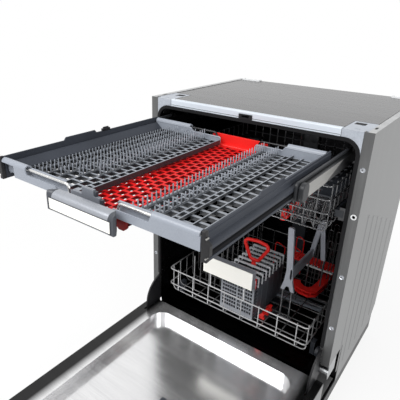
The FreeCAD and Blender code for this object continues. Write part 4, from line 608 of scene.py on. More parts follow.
def bent(points, radius, steps=5, closed=False):
    """The points of a bent bar: each corner becomes an arc of the given radius."""
    spots = [Vector(point) for point in points]
    count = len(spots)
    out = []
    for i, corner in enumerate(spots):
        if not closed and i in (0, count - 1):
            out.append(tuple(corner))
            continue
        to_before = spots[i - 1] - corner
        to_after = spots[(i + 1) % count] - corner
        first_way = to_before.normalized()
        last_way = to_after.normalized()
        opening = first_way.angle(last_way)
        cut = min(radius / math.tan(opening / 2), to_before.length / 2.01, to_after.length / 2.01)
        reach = cut * math.tan(opening / 2)
        middle = corner + (first_way + last_way).normalized() * (reach / math.sin(opening / 2))
        start = corner + first_way * cut - middle
        end = corner + last_way * cut - middle
        for step in range(steps + 1):
            out.append(tuple(middle + start.normalized().slerp(end.normalized(), step / steps) * start.length))
    return out


def dipped_wire(wire_y):
    """Cross wire with a square dip for the centre tray."""
    line = [(-SIDE_INNER, WIRE_HIGH), (DIP_LEFT, WIRE_HIGH), (DIP_LEFT, WIRE_LOW), (DIP_RIGHT, WIRE_LOW),
            (DIP_RIGHT, WIRE_HIGH), (SIDE_INNER, WIRE_HIGH)]
    tube(bent([(x, wire_y, z) for x, z in line], WIRE_BEND), WIRE_RADIUS, sides=12)


dipped_wire(FRONT_WIRE)
piece("drawer_front_wire", wire_steel, "drawer", stands_for=("drawer_wires",))
# The back wire is the same bright steel as the front one, painted black as painted shade and reflection of the
# dark tub.
dipped_wire(BACK_WIRE)
piece("drawer_back_wire", wire_painted_shade, "drawer")

# Side trays of the drawer.
# Blue-grey moulded trays hang on the cross wires by half-round hooks and slide on them; their floors
# are deep ribs with staggered slots, and rows of fine teeth hold the cutlery apart.
TRAY_FLOOR = 749
GRID_LOW = 745.5
GRID_TOP = 753.6
HOOK_IN = 5
HOOK_OUT = 7.5
HOOK_LIP = 8
GRID_NEAR = FRONT_WIRE + HOOK_OUT
GRID_FAR = BACK_WIRE - HOOK_OUT
WALL_THICK = 2.5
RIM_RADIUS = 1.9
EDGE_THICK = 3
EDGE_TOP = 755
BRICK_PITCH = 21
BRICK_BAR = 5
TOOTH_SIX = ((1, -0.5), (1, 0.5), (0, 1), (-1, 0.5), (-1, -0.5), (0, -1))
TOOTH_WEB = 2.2
TOOTH_SINK = 0.4
TOOTH_THICK = 1.1
TOOTH_SHARE = 0.17
TEETH_NEAR = -484
TEETH_FAR = BACK_WIRE - 13
WIRE_SHOWN = 763


def grid_plate(plane, firsts, seconds, solid, low, high):
    """Plate between two levels, open where solid says no."""
    corners = {}

    def corner(i, j, level):
        if (i, j, level) not in corners:
            corners[i, j, level] = BENCH.verts.new(place(plane, firsts[i], seconds[j], level))
        return corners[i, j, level]

    columns, rows = len(firsts) - 1, len(seconds) - 1
    for i in range(columns):
        for j in range(rows):
            if not solid(i, j):
                continue
            around = [(i, j), (i + 1, j), (i + 1, j + 1), (i, j + 1)]
            BENCH.faces.new([corner(*spot, high) for spot in around])
            BENCH.faces.new([corner(*spot, low) for spot in around[::-1]])
            beside = [(i, j - 1), (i + 1, j), (i, j + 1), (i - 1, j)]
            for k, (ni, nj) in enumerate(beside):
                if 0 <= ni < columns and 0 <= nj < rows and solid(ni, nj):
                    continue
                a, b = around[k], around[(k + 1) % 4]
                BENCH.faces.new([corner(*a, low), corner(*b, low), corner(*b, high), corner(*a, high)])


def brick_floor(ribs, y0, y1, pitch, bar, z0, z1):
    """Floor of long ribs with short cross bars, set off by half a pitch from column to column."""
    firsts = [edge for rib in ribs for edge in rib]
    half = pitch / 2
    seconds = [y0, y0 + bar]
    step = 2
    while y0 + step * half + bar < y1 - bar:
        seconds += [y0 + step * half - bar / 2, y0 + step * half + bar / 2]
        step += 1
    seconds += [y1 - bar, y1]

    def solid(i, j):
        if i % 2 == 0 or j in (0, len(seconds) - 2):
            return True
        return j % 2 == 0 and (j // 2) % 2 == (i // 2) % 2

    grid_plate("z", firsts, seconds, solid, z0, z1)


def tooth(x, y, low, high, thick, long):
    """Tapered moulded tooth with a rounded tip."""
    levels = ((1, low), (0.85, low + (high - low) * 0.86), (0.4, high))
    skin([[at(x + thick * share * cx, y + long * share * cy, level) for cx, cy in TOOTH_SIX]
          for share, level in levels])


def tooth_row(x, top, pitch, near):
    """Row of teeth along the depth on a low web."""
    web = GRID_TOP + TOOTH_WEB
    slab(x - TOOTH_THICK, x + TOOTH_THICK, near - 2, TEETH_FAR + 2, GRID_TOP - TOOTH_SINK, web)
    count = int((TEETH_FAR - near) / pitch)
    for step in range(count + 1):
        y = near + (TEETH_FAR - near) * step / count
        tooth(x, y, web - TOOTH_SINK, top, TOOTH_THICK, pitch * TOOTH_SHARE)


def arch(y):
    """Outline of a half-round hook over a cross wire."""
    ways = [(math.cos(math.pi * step / 12), math.sin(math.pi * step / 12)) for step in range(13)]
    outer = [(y + HOOK_OUT * cos, WIRE_HIGH + HOOK_OUT * sin) for cos, sin in ways]
    return outer + [(y + HOOK_IN * cos, WIRE_HIGH + HOOK_IN * sin) for cos, sin in ways[::-1]]


def falling(x0, x1, high, low, steps=10):
    """Points of an S-shaped drop."""
    return [(x0 + (x1 - x0) * step / steps, low + (high - low) * (1 + math.cos(math.pi * step / steps)) / 2)
            for step in range(steps + 1)]


def end_walls(front_line, back_line, start, end):
    """End walls under given top lines, each with a rounded rim."""
    for line, near in ((front_line, FRONT_WIRE + HOOK_IN), (back_line, BACK_WIRE - HOOK_OUT)):
        prism("y", [(start, TRAY_FLOOR)] + line + [(end, TRAY_FLOOR)], near, near + WALL_THICK)
        tube([(x, near + WALL_THICK / 2, z) for x, z in line], RIM_RADIUS)


def tray_hooks(front_hook, back_hook, apron):
    """Half-round hooks over both wires, the front apron and the back lip."""
    prism("x", arch(FRONT_WIRE), *front_hook)
    prism("x", arch(BACK_WIRE), *back_hook)
    prism("y", apron, FRONT_WIRE - HOOK_OUT, FRONT_WIRE - HOOK_IN)
    slab(*back_hook, BACK_WIRE + HOOK_IN, BACK_WIRE + HOOK_OUT, WIRE_HIGH - HOOK_LIP, WIRE_HIGH)


def long_edge(x, top):
    """Low wall along a tray's side."""
    slab(x, x + EDGE_THICK, GRID_NEAR - 1, GRID_FAR + 1, GRID_LOW, top)


def rib_pairs(lines, half):
    return [(line - half, line + half) for line in lines]


tray_grey = look("tray_grey", (0.235, 0.257, 0.30), (0.31, 0.337, 0.385), (0.3, 0.42))
# Darker copy of the tray grey as painted shade: the rib sides are painted darker still, and the floor darkens
# towards the left wall and lightens towards the middle.
left_floor_painted_shade = look("left_floor_painted_shade", (0.14, 0.152, 0.176), (0.24, 0.26, 0.295), (0.22, 0.34))
shaded(left_floor_painted_shade, "Normal", "Z", 0.4, 0.95, 0.12, 1)
shaded(left_floor_painted_shade, "Object", "X", 0.08, 0.17, 1.25, 0.25)
# Painted shade and light: the teeth are painted dark at their foot and light at their tips.
tooth_painted_light = look("tooth_painted_light", (0.25, 0.27, 0.306), (0.385, 0.414, 0.464), (0.22, 0.34))
shaded(tooth_painted_light, "Object", "Z", 0.753, 0.768, 0.3, 1.15)
LEFT_OUT = -228
LEFT_IN = -28
LEFT_LINES = (-206, -180, -152, -124, -97, -70, -50)
LEFT_ROWS = ((766, TEETH_NEAR), (770, -470), (771, -450), (773, -430), (777.5, -404))
LEFT_PITCH = 8.7
LEFT_RIB = 1.6
LEFT_FRONT_LINE = [(LEFT_OUT, WIRE_HIGH)] + falling(-62, -48, WIRE_HIGH, 758) + [(LEFT_IN, 758)]
LEFT_BACK_LINE = ([(LEFT_OUT, WIRE_HIGH), (-119, WIRE_HIGH)] + falling(-116, -108, WIRE_HIGH, WIRE_SHOWN)
                  + [(-31, WIRE_SHOWN), (LEFT_IN, 760)])
LEFT_APRON = [(-190, TRAY_FLOOR), (-190, WIRE_HIGH), (-155, WIRE_HIGH), (-152, WIRE_SHOWN),
              (-70, WIRE_SHOWN), (-62, TRAY_FLOOR)]
RAMP_LINE = [(-227.6, 750), (-209, 750), (-209, 754.6), (-225, 768), (-227.6, 768)]
end_walls(LEFT_FRONT_LINE, LEFT_BACK_LINE, LEFT_OUT, LEFT_IN)
tray_hooks((LEFT_OUT, -155), (LEFT_OUT, -119), LEFT_APRON)
long_edge(LEFT_OUT, EDGE_TOP)
piece("left_tray_shell", tray_grey, "tray_left", bevel=0.5, stands_for=("tray_left",))
prism("y", RAMP_LINE, GRID_NEAR, GRID_FAR)
piece("left_tray_ramp", profile_dark, "tray_left", bevel=0.5)
brick_floor([(LEFT_OUT, -224)] + rib_pairs(LEFT_LINES, LEFT_RIB) + [(-32, -28.4)],
            GRID_NEAR, GRID_FAR, BRICK_PITCH, BRICK_BAR, GRID_LOW, GRID_TOP)
long_edge(LEFT_IN - EDGE_THICK, 757)
slab(-40, LEFT_IN, GRID_NEAR - 2.4, GRID_NEAR + 9, 746, 762)
piece("left_tray_floor", left_floor_painted_shade, "tray_left", bevel=0.35)
for line, (top, near) in zip(LEFT_LINES[1:], LEFT_ROWS):
    tooth_row(line, top, LEFT_PITCH, near)
piece("left_tray_teeth", tooth_painted_light, "tray_left", bevel=0.25)

RIGHT_IN = 66.5
RIGHT_OUT = 228
RIGHT_HOOK = (142, 226)
RIGHT_PITCH = 10.4
RIGHT_ROWS = ((90, 775), (124, 773))
RIGHT_FRONT_LINE = [(RIGHT_IN, 768), (68.5, WIRE_HIGH), (RIGHT_OUT, WIRE_HIGH)]
RIGHT_BACK_LINE = ([(RIGHT_IN, 760), (69, WIRE_SHOWN), (128, WIRE_SHOWN)]
                   + falling(140, 132, WIRE_HIGH, WIRE_SHOWN)[::-1] + [(RIGHT_OUT, WIRE_HIGH)])
RIGHT_APRON = [(RIGHT_IN, TRAY_FLOOR), (RIGHT_IN, WIRE_SHOWN), (138, WIRE_SHOWN), (141, WIRE_HIGH),
               (RIGHT_OUT, WIRE_HIGH), (RIGHT_OUT, TRAY_FLOOR)]
FINE_RIBS = [(84.4, 92), (105.5, 108.5), (122, 126), (140, 143), (157, 160)]
WIDE_RIBS = [(157.4, 160), (180, 182.4), (202, 204.4), (224, 227.6)]
WIDE_PITCH = 24
WIDE_BAR = 6
FLOOR_RAILS = ((158.5, 758.5), (181.2, 756), (203.2, 756))
RAIL_HALF = 1.2
end_walls(RIGHT_FRONT_LINE, RIGHT_BACK_LINE, RIGHT_IN, RIGHT_OUT)
tray_hooks(RIGHT_HOOK, RIGHT_HOOK, RIGHT_APRON)
for edge in (84, RIGHT_OUT - EDGE_THICK):
    long_edge(edge, EDGE_TOP)
piece("right_tray_shell", tray_grey, "tray_right", bevel=0.5, stands_for=("tray_right",))
brick_floor(FINE_RIBS, GRID_NEAR, GRID_FAR, BRICK_PITCH, BRICK_BAR, GRID_LOW, GRID_TOP)
brick_floor(WIDE_RIBS, GRID_NEAR, GRID_FAR, WIDE_PITCH, WIDE_BAR, GRID_LOW + 1, GRID_TOP)
for x, top in FLOOR_RAILS:
    slab(x - RAIL_HALF, x + RAIL_HALF, GRID_NEAR, GRID_FAR, GRID_TOP - 1, top)
# Darker copy of the tray grey as painted shade, with the rib sides painted darker still.
right_floor_painted_shade = look("right_floor_painted_shade", (0.17, 0.185, 0.21), (0.28, 0.302, 0.34), (0.22, 0.34))
shaded(right_floor_painted_shade, "Normal", "Z", 0.4, 0.95, 0.16, 1)
piece("right_tray_floor", right_floor_painted_shade, "tray_right", bevel=0.35)
for x, top in RIGHT_ROWS:
    tooth_row(x, top, RIGHT_PITCH, TEETH_NEAR)
piece("right_tray_teeth", tooth_painted_light, "tray_right", bevel=0.25)

# Centre tray of the drawer.
# Deep red moulded tray in the dip of the cross wires, with a staggered slotted floor, low rims, a high
# back wall, covers over the wires and a hook at its front corner.
red = look("red", (0.70, 0.012, 0.011), (0.92, 0.032, 0.025), (0.3, 0.42), bump=0.06, shine=0.3)
# Darker copy of the tray red as painted shade for the floor and the hook, with side faces painted darker still.
red_painted_shade = look("red_painted_shade", (0.56, 0.006, 0.007), (0.78, 0.013, 0.012), (0.34, 0.46), bump=0.06, shine=0.12)
shaded(red_painted_shade, "Normal", "Z", 0.4, 0.95, 0.22, 1)
RED_FLOOR = 735
RED_GRID_TOP = 741.6
RED_RIM = 745
RED_FRONT = -494
RED_BACK = -45.5
RED_LEFT = -60
RED_RIGHT = 88
RED_LINES = (-43, -26, -9, 8, 25, 42, 59, 76)
RED_RIB = 1.9
RED_PITCH = 22
RED_BAR = 7
RED_EDGE = 3
BACK_LINE = [(RED_LEFT, RED_FLOOR), (RED_RIGHT, RED_FLOOR), (RED_RIGHT, 764), (84, 768), (-56, 768),
             (RED_LEFT, 764)]
COVER_REACH = 3.4
HOOK_LINE = [(67, 746), (69, 733), (74, 729), (84, 729), (RED_RIGHT, 733), (RED_RIGHT, 746)]
HOOK_FRONT = -500.5
RED_RIBS = [(RED_LEFT, RED_LEFT + RED_EDGE), *rib_pairs(RED_LINES, RED_RIB), (RED_RIGHT - RED_EDGE, RED_RIGHT)]
brick_floor(RED_RIBS, RED_FRONT, RED_BACK, RED_PITCH, RED_BAR, RED_FLOOR, RED_GRID_TOP)
piece("centre_tray_floor", red_painted_shade, "drawer", bevel=0.45)
prism("y", HOOK_LINE, HOOK_FRONT, RED_FRONT + 1)
piece("centre_tray_hook", red_painted_shade, "drawer", bevel=0.45)
for x in (RED_LEFT, RED_RIGHT - WALL_THICK):
    slab(x, x + WALL_THICK, RED_FRONT, RED_BACK, RED_FLOOR, RED_RIM)
slab(RED_LEFT, RED_RIGHT, RED_FRONT, RED_FRONT + WALL_THICK, RED_FLOOR, RED_RIM)
prism("y", BACK_LINE, RED_BACK - WALL_THICK, RED_BACK)
for near, far in ((FRONT_WIRE - COVER_REACH, RED_FRONT + WALL_THICK), (BACK_WIRE - COVER_REACH, RED_BACK)):
    prism("x", rounded(near, far, 738.6, 745.8, 2.4), DIP_LEFT + 6, DIP_RIGHT - 6)
piece("centre_tray", red, "drawer", bevel=0.45, stands_for=("red_tray",))

# Drawer handle.
# A rounded grey grip, hollow from below, on an arm to the centre tray, with dark end caps, a cream
# plate in a thin frame and a stepped mount on the front wire's cover.
HANDLE_X0 = -60
HANDLE_X1 = 94
HANDLE_FRONT = -530
HANDLE_BACK = -511.5
HANDLE_TOP = 767
HANDLE_LOW = 734
HANDLE_ROUND = 11
HANDLE_WALL = 2.5
GRIP_END = 12
GRIP_TAPER = 0.3
ARM_X = (-30, 60)
ARM_Z = (735, 739)
PLATE_INSET = 7
PLATE_Z = (737.5, 756)
FRAME_INSETS = (5.6, 6.8)
FRAME_HEIGHTS = [736.1, 737.3, 756.2, 757.4]
MOUNT_LINE = [(-32, 744.6), (34, 744.6), (34, 768.5), (21, 769), (21, 779), (-6, 778.5), (-8, 766), (-32, 766)]
MOUNT_Y = (-500.3, -494.6)
MOUNT_ENDS = ((20.6, 27, 762, 777), (33.6, 40, 744.6, 766.5))
MOUNT_END_Y = (-500, -494.8)


def grip_outline(inset, low):
    """Section of the grip: a flat front, a rounded top edge and a flat top."""
    front, back, top = HANDLE_FRONT + inset, HANDLE_BACK - inset, HANDLE_TOP - inset
    radius = HANDLE_ROUND - inset
    points = [(back, low), (back, top)]
    for step in range(9):
        turn = math.pi / 2 + math.pi / 2 * step / 8
        points.append((front + radius + radius * math.cos(turn), top - radius + radius * math.sin(turn)))
    return points + [(front, low)]


handle_look = look("handle_look", (0.25, 0.265, 0.295), (0.35, 0.365, 0.40), (0.24, 0.34), bump=0.05,
                   metallic=0.3)
full_end = grip_outline(0, HANDLE_LOW)
shell = full_end + grip_outline(HANDLE_WALL, HANDLE_LOW)[::-1]
prism("x", shell, HANDLE_X0 + GRIP_END, HANDLE_X1 - GRIP_END)
slab(*ARM_X, HANDLE_BACK - HANDLE_WALL, RED_FRONT - 0.1, *ARM_Z)
piece("drawer_grip", handle_look, "drawer", bevel=0.8, stands_for=("drawer_handle",))
small_end = [(HANDLE_FRONT + (y - HANDLE_FRONT) * GRIP_TAPER, z) for y, z in full_end]
for inner, outer in ((HANDLE_X0 + GRIP_END, HANDLE_X0), (HANDLE_X1 - GRIP_END, HANDLE_X1)):
    skin([[at(x, *point) for point in section] for x, section in ((inner, full_end), (outer, small_end))])
piece("drawer_grip_ends", slate, "drawer", bevel=0.8)
cream = look("cream", (0.92, 0.91, 0.85), (0.96, 0.95, 0.90), (0.4, 0.55), 500, 0.04)
slab(HANDLE_X0 + PLATE_INSET, HANDLE_X1 - PLATE_INSET, HANDLE_FRONT - 1.2, HANDLE_FRONT, *PLATE_Z)
piece("drawer_grip_plate", cream, "drawer", bevel=0.5, stands_for=("drawer_handle_plate",))
frame_columns = sorted([HANDLE_X0 + inset for inset in FRAME_INSETS]
                       + [HANDLE_X1 - inset for inset in FRAME_INSETS])
grid_plate("y", frame_columns, FRAME_HEIGHTS, lambda i, j: (i, j) != (1, 1),
           HANDLE_FRONT - 0.8, HANDLE_FRONT + 0.1)
piece("drawer_plate_frame", slate, "drawer", bevel=0.3)
mount_grey = look("mount_grey", (0.15, 0.161, 0.185), (0.22, 0.236, 0.268), (0.3, 0.42), bump=0.06)
prism("y", MOUNT_LINE, *MOUNT_Y)
piece("drawer_grip_mount", mount_grey, "drawer", bevel=0.7)
for x0, x1, low, top in MOUNT_ENDS:
    slab(x0, x1, *MOUNT_END_Y, low, top)
piece("drawer_mount_ends", slate, "drawer", bevel=0.5)

# Upper rack.
# Welded wire basket with a dark coating, on plastic sliders, with folding cup shelves, red clips and
# its own spray arm under a water duct.
coated_dark = look("coated_dark", (0.055, 0.056, 0.061), (0.11, 0.112, 0.12), (0.1, 0.22), 700, 0.05,
                   coat=0.6, shine=0.8)
UPPER = dict(half=231, y0=8, y1=446, floor=560, levels=(590, 612, 646, 680), cross=14, long=15, wire=1.7)
RACK_WIRE = 2
THIN_WIRE = 1.5
RIM_EXTRA = 0.3
UPRIGHT_INSET = 4.3
UPRIGHT_RISE = 2
CROSS_INSET = 16
CROSS_BEND = 14
LONG_INSET = 32
LONG_LIFT = 4
LONG_BEND = 10
RIM_BEND = 12
TIP_TALL = 1.5
TIP_RADIUS = 1
UPPER_TINES = (-24.9, 24.9, 142)
UPPER_TINE_FOOT = 562
UPPER_TINE_TALL = 60
UPPER_LOOPS = ((132, 8, 606), (165, 8, 612), (198, 10, 630))
LOOP_HALF = 9
LOOP_BEND = 6
WAVE_PLACES = (30, 63, 96, 129, 162, 195, 228)
WAVE_START = 60
WAVE_STEP = 6
WAVE_COUNT = 29
WAVE_LEVEL = 574
WAVE_RISE = 11
CLIP_X = 113.7
CLIP_FIRST = 26
CLIP_PITCH = 44
CLIP_COUNT = 6
CLIP_HALF = 6
ROLL_HALF = 9
CLIP_LINE = [(0, 554), (6, 554), (10, 568), (14, 554), (20, 554), (13, 582), (7, 582)]


def evenly(first, last, count):
    return [first + (last - first) * step / (count - 1) for step in range(count)]


def rack_wires(rack):
    """Floor wires turned up at both ends and closed rim wires; returns the inner rows of cross wires."""
    half, y0, y1, wire = rack["half"], rack["y0"], rack["y1"], rack["wire"]
    low, top = rack["floor"], rack["levels"][-1] + UPRIGHT_RISE
    left, right, near, far = UPRIGHT_INSET - half, half - UPRIGHT_INSET, y0 + UPRIGHT_INSET, y1 - UPRIGHT_INSET
    cross = evenly(y0 + CROSS_INSET, y1 - CROSS_INSET, rack["cross"])
    for y in cross:
        tube(bent([(left, y, top), (left, y, low), (right, y, low), (right, y, top)], CROSS_BEND), wire)
    low += LONG_LIFT
    for x in evenly(LONG_INSET - half, half - LONG_INSET, rack["long"]):
        tube(bent([(x, near, top), (x, near, low), (x, far, low), (x, far, top)], LONG_BEND), wire)
    for level in rack["levels"]:
        rim = [(-half, y0, level), (half, y0, level), (half, y1, level), (-half, y1, level)]
        tube(bent(rim, RIM_BEND, closed=True), wire + RIM_EXTRA, closed=True)
    return cross[1:-1]


def tine_rods(xs, ys, low, height):
    """Upright rods with tapered tips."""
    top = low + height
    for x in xs:
        for y in ys:
            lathe("z", (x, y), [(RACK_WIRE, low), (RACK_WIRE, top - TIP_TALL), (TIP_RADIUS, top)], sides=8)


upper_rows = rack_wires(UPPER)
tine_rods(UPPER_TINES, upper_rows, UPPER_TINE_FOOT, UPPER_TINE_TALL)
for y in upper_rows:
    for x, lean, top in UPPER_LOOPS:
        y0, y1 = y - LOOP_HALF, y + LOOP_HALF
        tube(bent([(x, y0, UPPER_TINE_FOOT), (x + lean, y0, top), (x + lean, y1, top), (x, y1, UPPER_TINE_FOOT)],
                  LOOP_BEND), THIN_WIRE, sides=6)
for wave_y in WAVE_PLACES:
    tube([(WAVE_START + WAVE_STEP * step, wave_y, WAVE_LEVEL + WAVE_RISE * math.cos(math.pi * step / 2))
          for step in range(WAVE_COUNT)], THIN_WIRE, sides=6)
piece("upper_rack_wires", coated_dark, "upper_rack", stands_for=("upper_rack_frame",))
for near in (CLIP_FIRST + CLIP_PITCH * step for step in range(CLIP_COUNT)):
    prism("x", [(near + y, z) for y, z in CLIP_LINE], CLIP_X - CLIP_HALF, CLIP_X + CLIP_HALF)
    prism("x", rounded(near + 12, near + 30, 558, 566, 3), CLIP_X - ROLL_HALF, CLIP_X + ROLL_HALF)
piece("tine_clips", red, "upper_rack", bevel=0.8, stands_for=("upper_rack_clips",))
dress(slate, "upper_rack_sliders", "upper_rack_duct", "cup_shelf_left", "cup_shelf_right")
dress(grey_blue, "upper_spray_arm")

# Lower rack.
# Bright coated wire basket on plastic wheels, with rows of tines and tall wire loops for plates and a
# cream-faced grip that stands on two posts above its front.
coated_pale = look("coated_pale", (0.44, 0.44, 0.45), (0.64, 0.64, 0.65), (0.16, 0.3), 700, 0.04, metallic=0.5)
# Painted shade: the wires darken from the front of the rack towards the back.
shaded(coated_pale, "Object", "Y", 0.078, 0.15, 1.15, 0.3)
LOWER = dict(half=232, y0=2, y1=450, floor=200, levels=(230, 284), cross=13, long=8, wire=1.6)
LOWER_TINES = (-171.4, -114.3)
LOWER_TINE_FOOT = 202
LOWER_TINE_TALL = 125
GRIP_POSTS = (-77, 37)
GRIP_POST_Z = (285, 331)
TALL_LOOP_PLACES = (118, 214, 5)
TALL_LOOP_ROWS = (292, 366, 418)
TALL_LOOP_TOP = 392
TALL_LOOP_HALF = 7
TALL_LOOP_LEAN = 10
WHEEL_HEIGHT = 166.3
WHEEL_LINE = [(4.2, 239), (9, 239), (9, 241), (14, 240), (15.6, 241), (15.9, 245),
              (15.6, 249), (14, 250), (9, 249), (9, 251), (4.2, 251)]
RACK_PLATE = (-101, 61, -3, -1, 330, 384)
lower_rows = rack_wires(LOWER)
tine_rods(LOWER_TINES, lower_rows, LOWER_TINE_FOOT, LOWER_TINE_TALL)
for x in GRIP_POSTS:
    tube([(x, LOWER["y0"], z) for z in GRIP_POST_Z], RACK_WIRE)
for y in TALL_LOOP_ROWS:
    back = y + TALL_LOOP_LEAN
    for x in evenly(*TALL_LOOP_PLACES):
        x0, x1 = x - TALL_LOOP_HALF, x + TALL_LOOP_HALF
        tube(bent([(x0, y, LOWER_TINE_FOOT), (x0, back, TALL_LOOP_TOP), (x1, back, TALL_LOOP_TOP),
                   (x1, y, LOWER_TINE_FOOT)], LOOP_BEND), THIN_WIRE, sides=6)
piece("lower_rack_wires", coated_pale, "lower_rack", stands_for=("lower_rack_frame",))
dress(slate, "wheel_carriers")
dress(handle_look, "lower_handle_grip")
for name, wheel_y in (("wheels_front", 75), ("wheels_rear", 395)):
    for side in (-1, 1):
        lathe("x", (wheel_y, WHEEL_HEIGHT), [(radius, side * x) for radius, x in WHEEL_LINE], sides=32, ring=True)
    piece("smooth_" + name, slate, name, stands_for=(name,))
slab(*RACK_PLATE)
piece("lower_grip_plate", cream, "lower_rack", bevel=0.8, stands_for=("lower_handle_plate",))

# Red rests in the lower rack.
# Red plastic rests for plates and glasses at the back right: a perforated bar, a curved band and small
# clips on the floor wires, all held on the rack by short wire stems.
BAND_OUTER = [(90, 232), (102, 208), (126, 193), (156, 191), (176, 208), (182, 256), (180, 339)]
BAND_INNER = [(112, 238), (118, 226), (132, 216), (144, 216), (152, 226), (156, 262), (156, 339)]
BAND_LEVELS = ((240, 247), (254, 260))
BAND_STUDS = ((96, 226), (110, 208), (134, 200), (160, 202), (168, 234), (170, 284), (168, 329))
STUD_LINE = [(3.6, 246), (2.8, 250), (3.6, 255)]
FLOOR_CLIP = [(64, 206.2), (84, 206.2), (80, 216), (84, 226), (76, 228), (66, 218)]
FLOOR_CLIP_PLACES = (52, 76, 100)
FLOOR_CLIP_WIDE = 9
RED_LOOPS = ((40, 66, 352), (22, 60, 308), (-34, 2, 302))
RED_LOOP_Y = 350
RED_LOOP_FOOT = 205
RED_LOOP_DROP = 14
RED_LOOP_BEND = 9
RED_LOOP_WIRE = 1.8
REST_COLUMNS = (40, 206, 4, 12)
REST_ROWS = (304, 348, 4, 4)
REST_LEVELS = (284, 290)
STRIP_BAR = (104, 190, 290, 296, 284.5, 288.5)
STRIP_TEETH = (106, 186, 9)
STRIP_TOOTH = 2.4
STRIP_TOOTH_BOX = (295, 305, 285, 288)
STEM_FOOT = 201
STEM_WIRE = 1.6
REST_STEMS = ((60, 324, 285), (192, 324, 285), (114, 210, 241), (169, 294, 241))


def lattice_lines(first, last, bar, count):
    """Edges of bars with equal windows between them."""
    step = (last - first - bar) / count
    return [first + k * step + edge for k in range(count + 1) for edge in (0, bar)]


def bars(i, j):
    return i % 2 == 0 or j % 2 == 0


grid_plate("z", lattice_lines(*REST_COLUMNS), lattice_lines(*REST_ROWS), bars, *REST_LEVELS)
for low, high in BAND_LEVELS:
    prism("z", BAND_OUTER + BAND_INNER[::-1], low, high)
for stud in BAND_STUDS:
    lathe("z", stud, STUD_LINE, sides=8)
for near in FLOOR_CLIP_PLACES:
    prism("y", FLOOR_CLIP, near, near + FLOOR_CLIP_WIDE)
piece("rack_rests", red, "lower_rack", bevel=1)
for x0, x1, top in RED_LOOPS:
    line = [(x0, RED_LOOP_FOOT), (x0, top), (x1, top - RED_LOOP_DROP), (x1, RED_LOOP_FOOT)]
    tube(bent([(x, RED_LOOP_Y, z) for x, z in line], RED_LOOP_BEND), RED_LOOP_WIRE)
piece("red_tine_loops", red, "lower_rack")
for x, y, top in REST_STEMS:
    tube([(x, y, STEM_FOOT), (x, y, top)], STEM_WIRE)
piece("rest_stems", coated_pale, "lower_rack")
slab(*STRIP_BAR)
for x in evenly(*STRIP_TEETH):
    slab(x, x + STRIP_TOOTH, *STRIP_TOOTH_BOX)
piece("rest_strip", white_plastic, "lower_rack", bevel=0.5)

# Cutlery basket.
# Moulded lattice basket with a pale ribbed top whose ends turn down its sides, lifted by a red
# three-cornered loop.
basket_grey = look("basket_grey", (0.21, 0.225, 0.25), (0.29, 0.305, 0.335), (0.32, 0.45))
basket_dark = look("basket_dark", (0.050, 0.055, 0.066), (0.090, 0.098, 0.114), (0.32, 0.46))
pale_grey = look("pale_grey", (0.50, 0.52, 0.55), (0.66, 0.68, 0.71), (0.3, 0.42))
bx0, bx1, by0, by1, bz0, bz1 = (-52, 58, 24, 214, 206.2, 345)
BASKET_MIDDLE = (bx0 + bx1) / 2
BASKET_WALL = 2.5
BASKET_BAND = 20
BASKET_PLAY = 2.6
BASKET_LIP = 0.3
WINDOW_EDGE = 4
WINDOW_BAR = 1.6
WINDOW_COUNT = 6
SIDE_RIBS = (72, 108, 144, 180)
SIDE_RIB_OUT = 0.9
INNER_BAR = 2.4
RIB_FALL = 36
RIB_THICK = 4.6
RIB_COUNT = 9
RIB_LOW = bz1 - RIB_FALL
RIB_LINE = [(bx0, RIB_LOW), (bx0, bz1 - 2), (bx0 + 2, bz1), (bx1 - 2, bz1), (bx1, bz1 - 2), (bx1, RIB_LOW),
            (bx1 - 3, RIB_LOW), (bx1 - 3, bz1 - 6), (bx0 + 3, bz1 - 6), (bx0 + 3, RIB_LOW)]
LOOP_Y = 119
LOOP_RADIUS = 5.3
LOOP_CORNER = 10
LOOP_TONGUE = (-5, 9, LOOP_Y - 3, LOOP_Y + 3, 326, 349)
LOOP_CATCH = (bx1 - 9, bx1 - 3.4, by0 + 9, by0 + 16, 312, 344)
LOOP_LINE = [(-35, 402), (-26, 412), (8, 416), (38, 412), (45, 400), (15, 350), (-11, 350)]
window_columns = (lattice_lines(bx0 + WINDOW_EDGE, BASKET_MIDDLE - 1, WINDOW_BAR, WINDOW_COUNT)
                  + lattice_lines(BASKET_MIDDLE + 1, bx1 - WINDOW_EDGE, WINDOW_BAR, WINDOW_COUNT))
window_columns[0], window_columns[-1] = bx0, bx1
window_rows = lattice_lines(bz0 + BASKET_BAND - 4, bz1 - 6, 4, 9)
window_rows[0] = bz0


def front_bars(i, j):
    """Pairs of fine uprights meet in the wide middle bar."""
    return bars(i, j) or i == len(window_columns) // 2 - 1


for near in (by0, by1 - BASKET_WALL):
    grid_plate("y", window_columns, window_rows, front_bars, near, near + BASKET_WALL)
    slab(bx0 - BASKET_LIP, bx1 + BASKET_LIP, near - BASKET_LIP, near + BASKET_WALL + BASKET_LIP,
         bz0, bz0 + BASKET_BAND - 2)
piece("basket_lattice", basket_grey, "lower_rack", bevel=0.25, stands_for=("cutlery_basket",))
side_columns = [by0 + BASKET_PLAY, by0 + 6, by0 + 24, by1 - BASKET_PLAY]
side_rows = lattice_lines(bz0, bz1 - 34, 5, 8)
for low, high, out_low, out_high in ((bx0, bx0 + BASKET_WALL, SIDE_RIB_OUT, 0),
                                     (bx1 - BASKET_WALL, bx1, 0, SIDE_RIB_OUT)):
    grid_plate("x", side_columns, side_rows, lambda i, j: i != 1 or j % 2 == 0, low, high)
    for y in SIDE_RIBS:
        slab(low - out_low, high + out_high, y, y + 3, bz0 + 2, RIB_LOW)
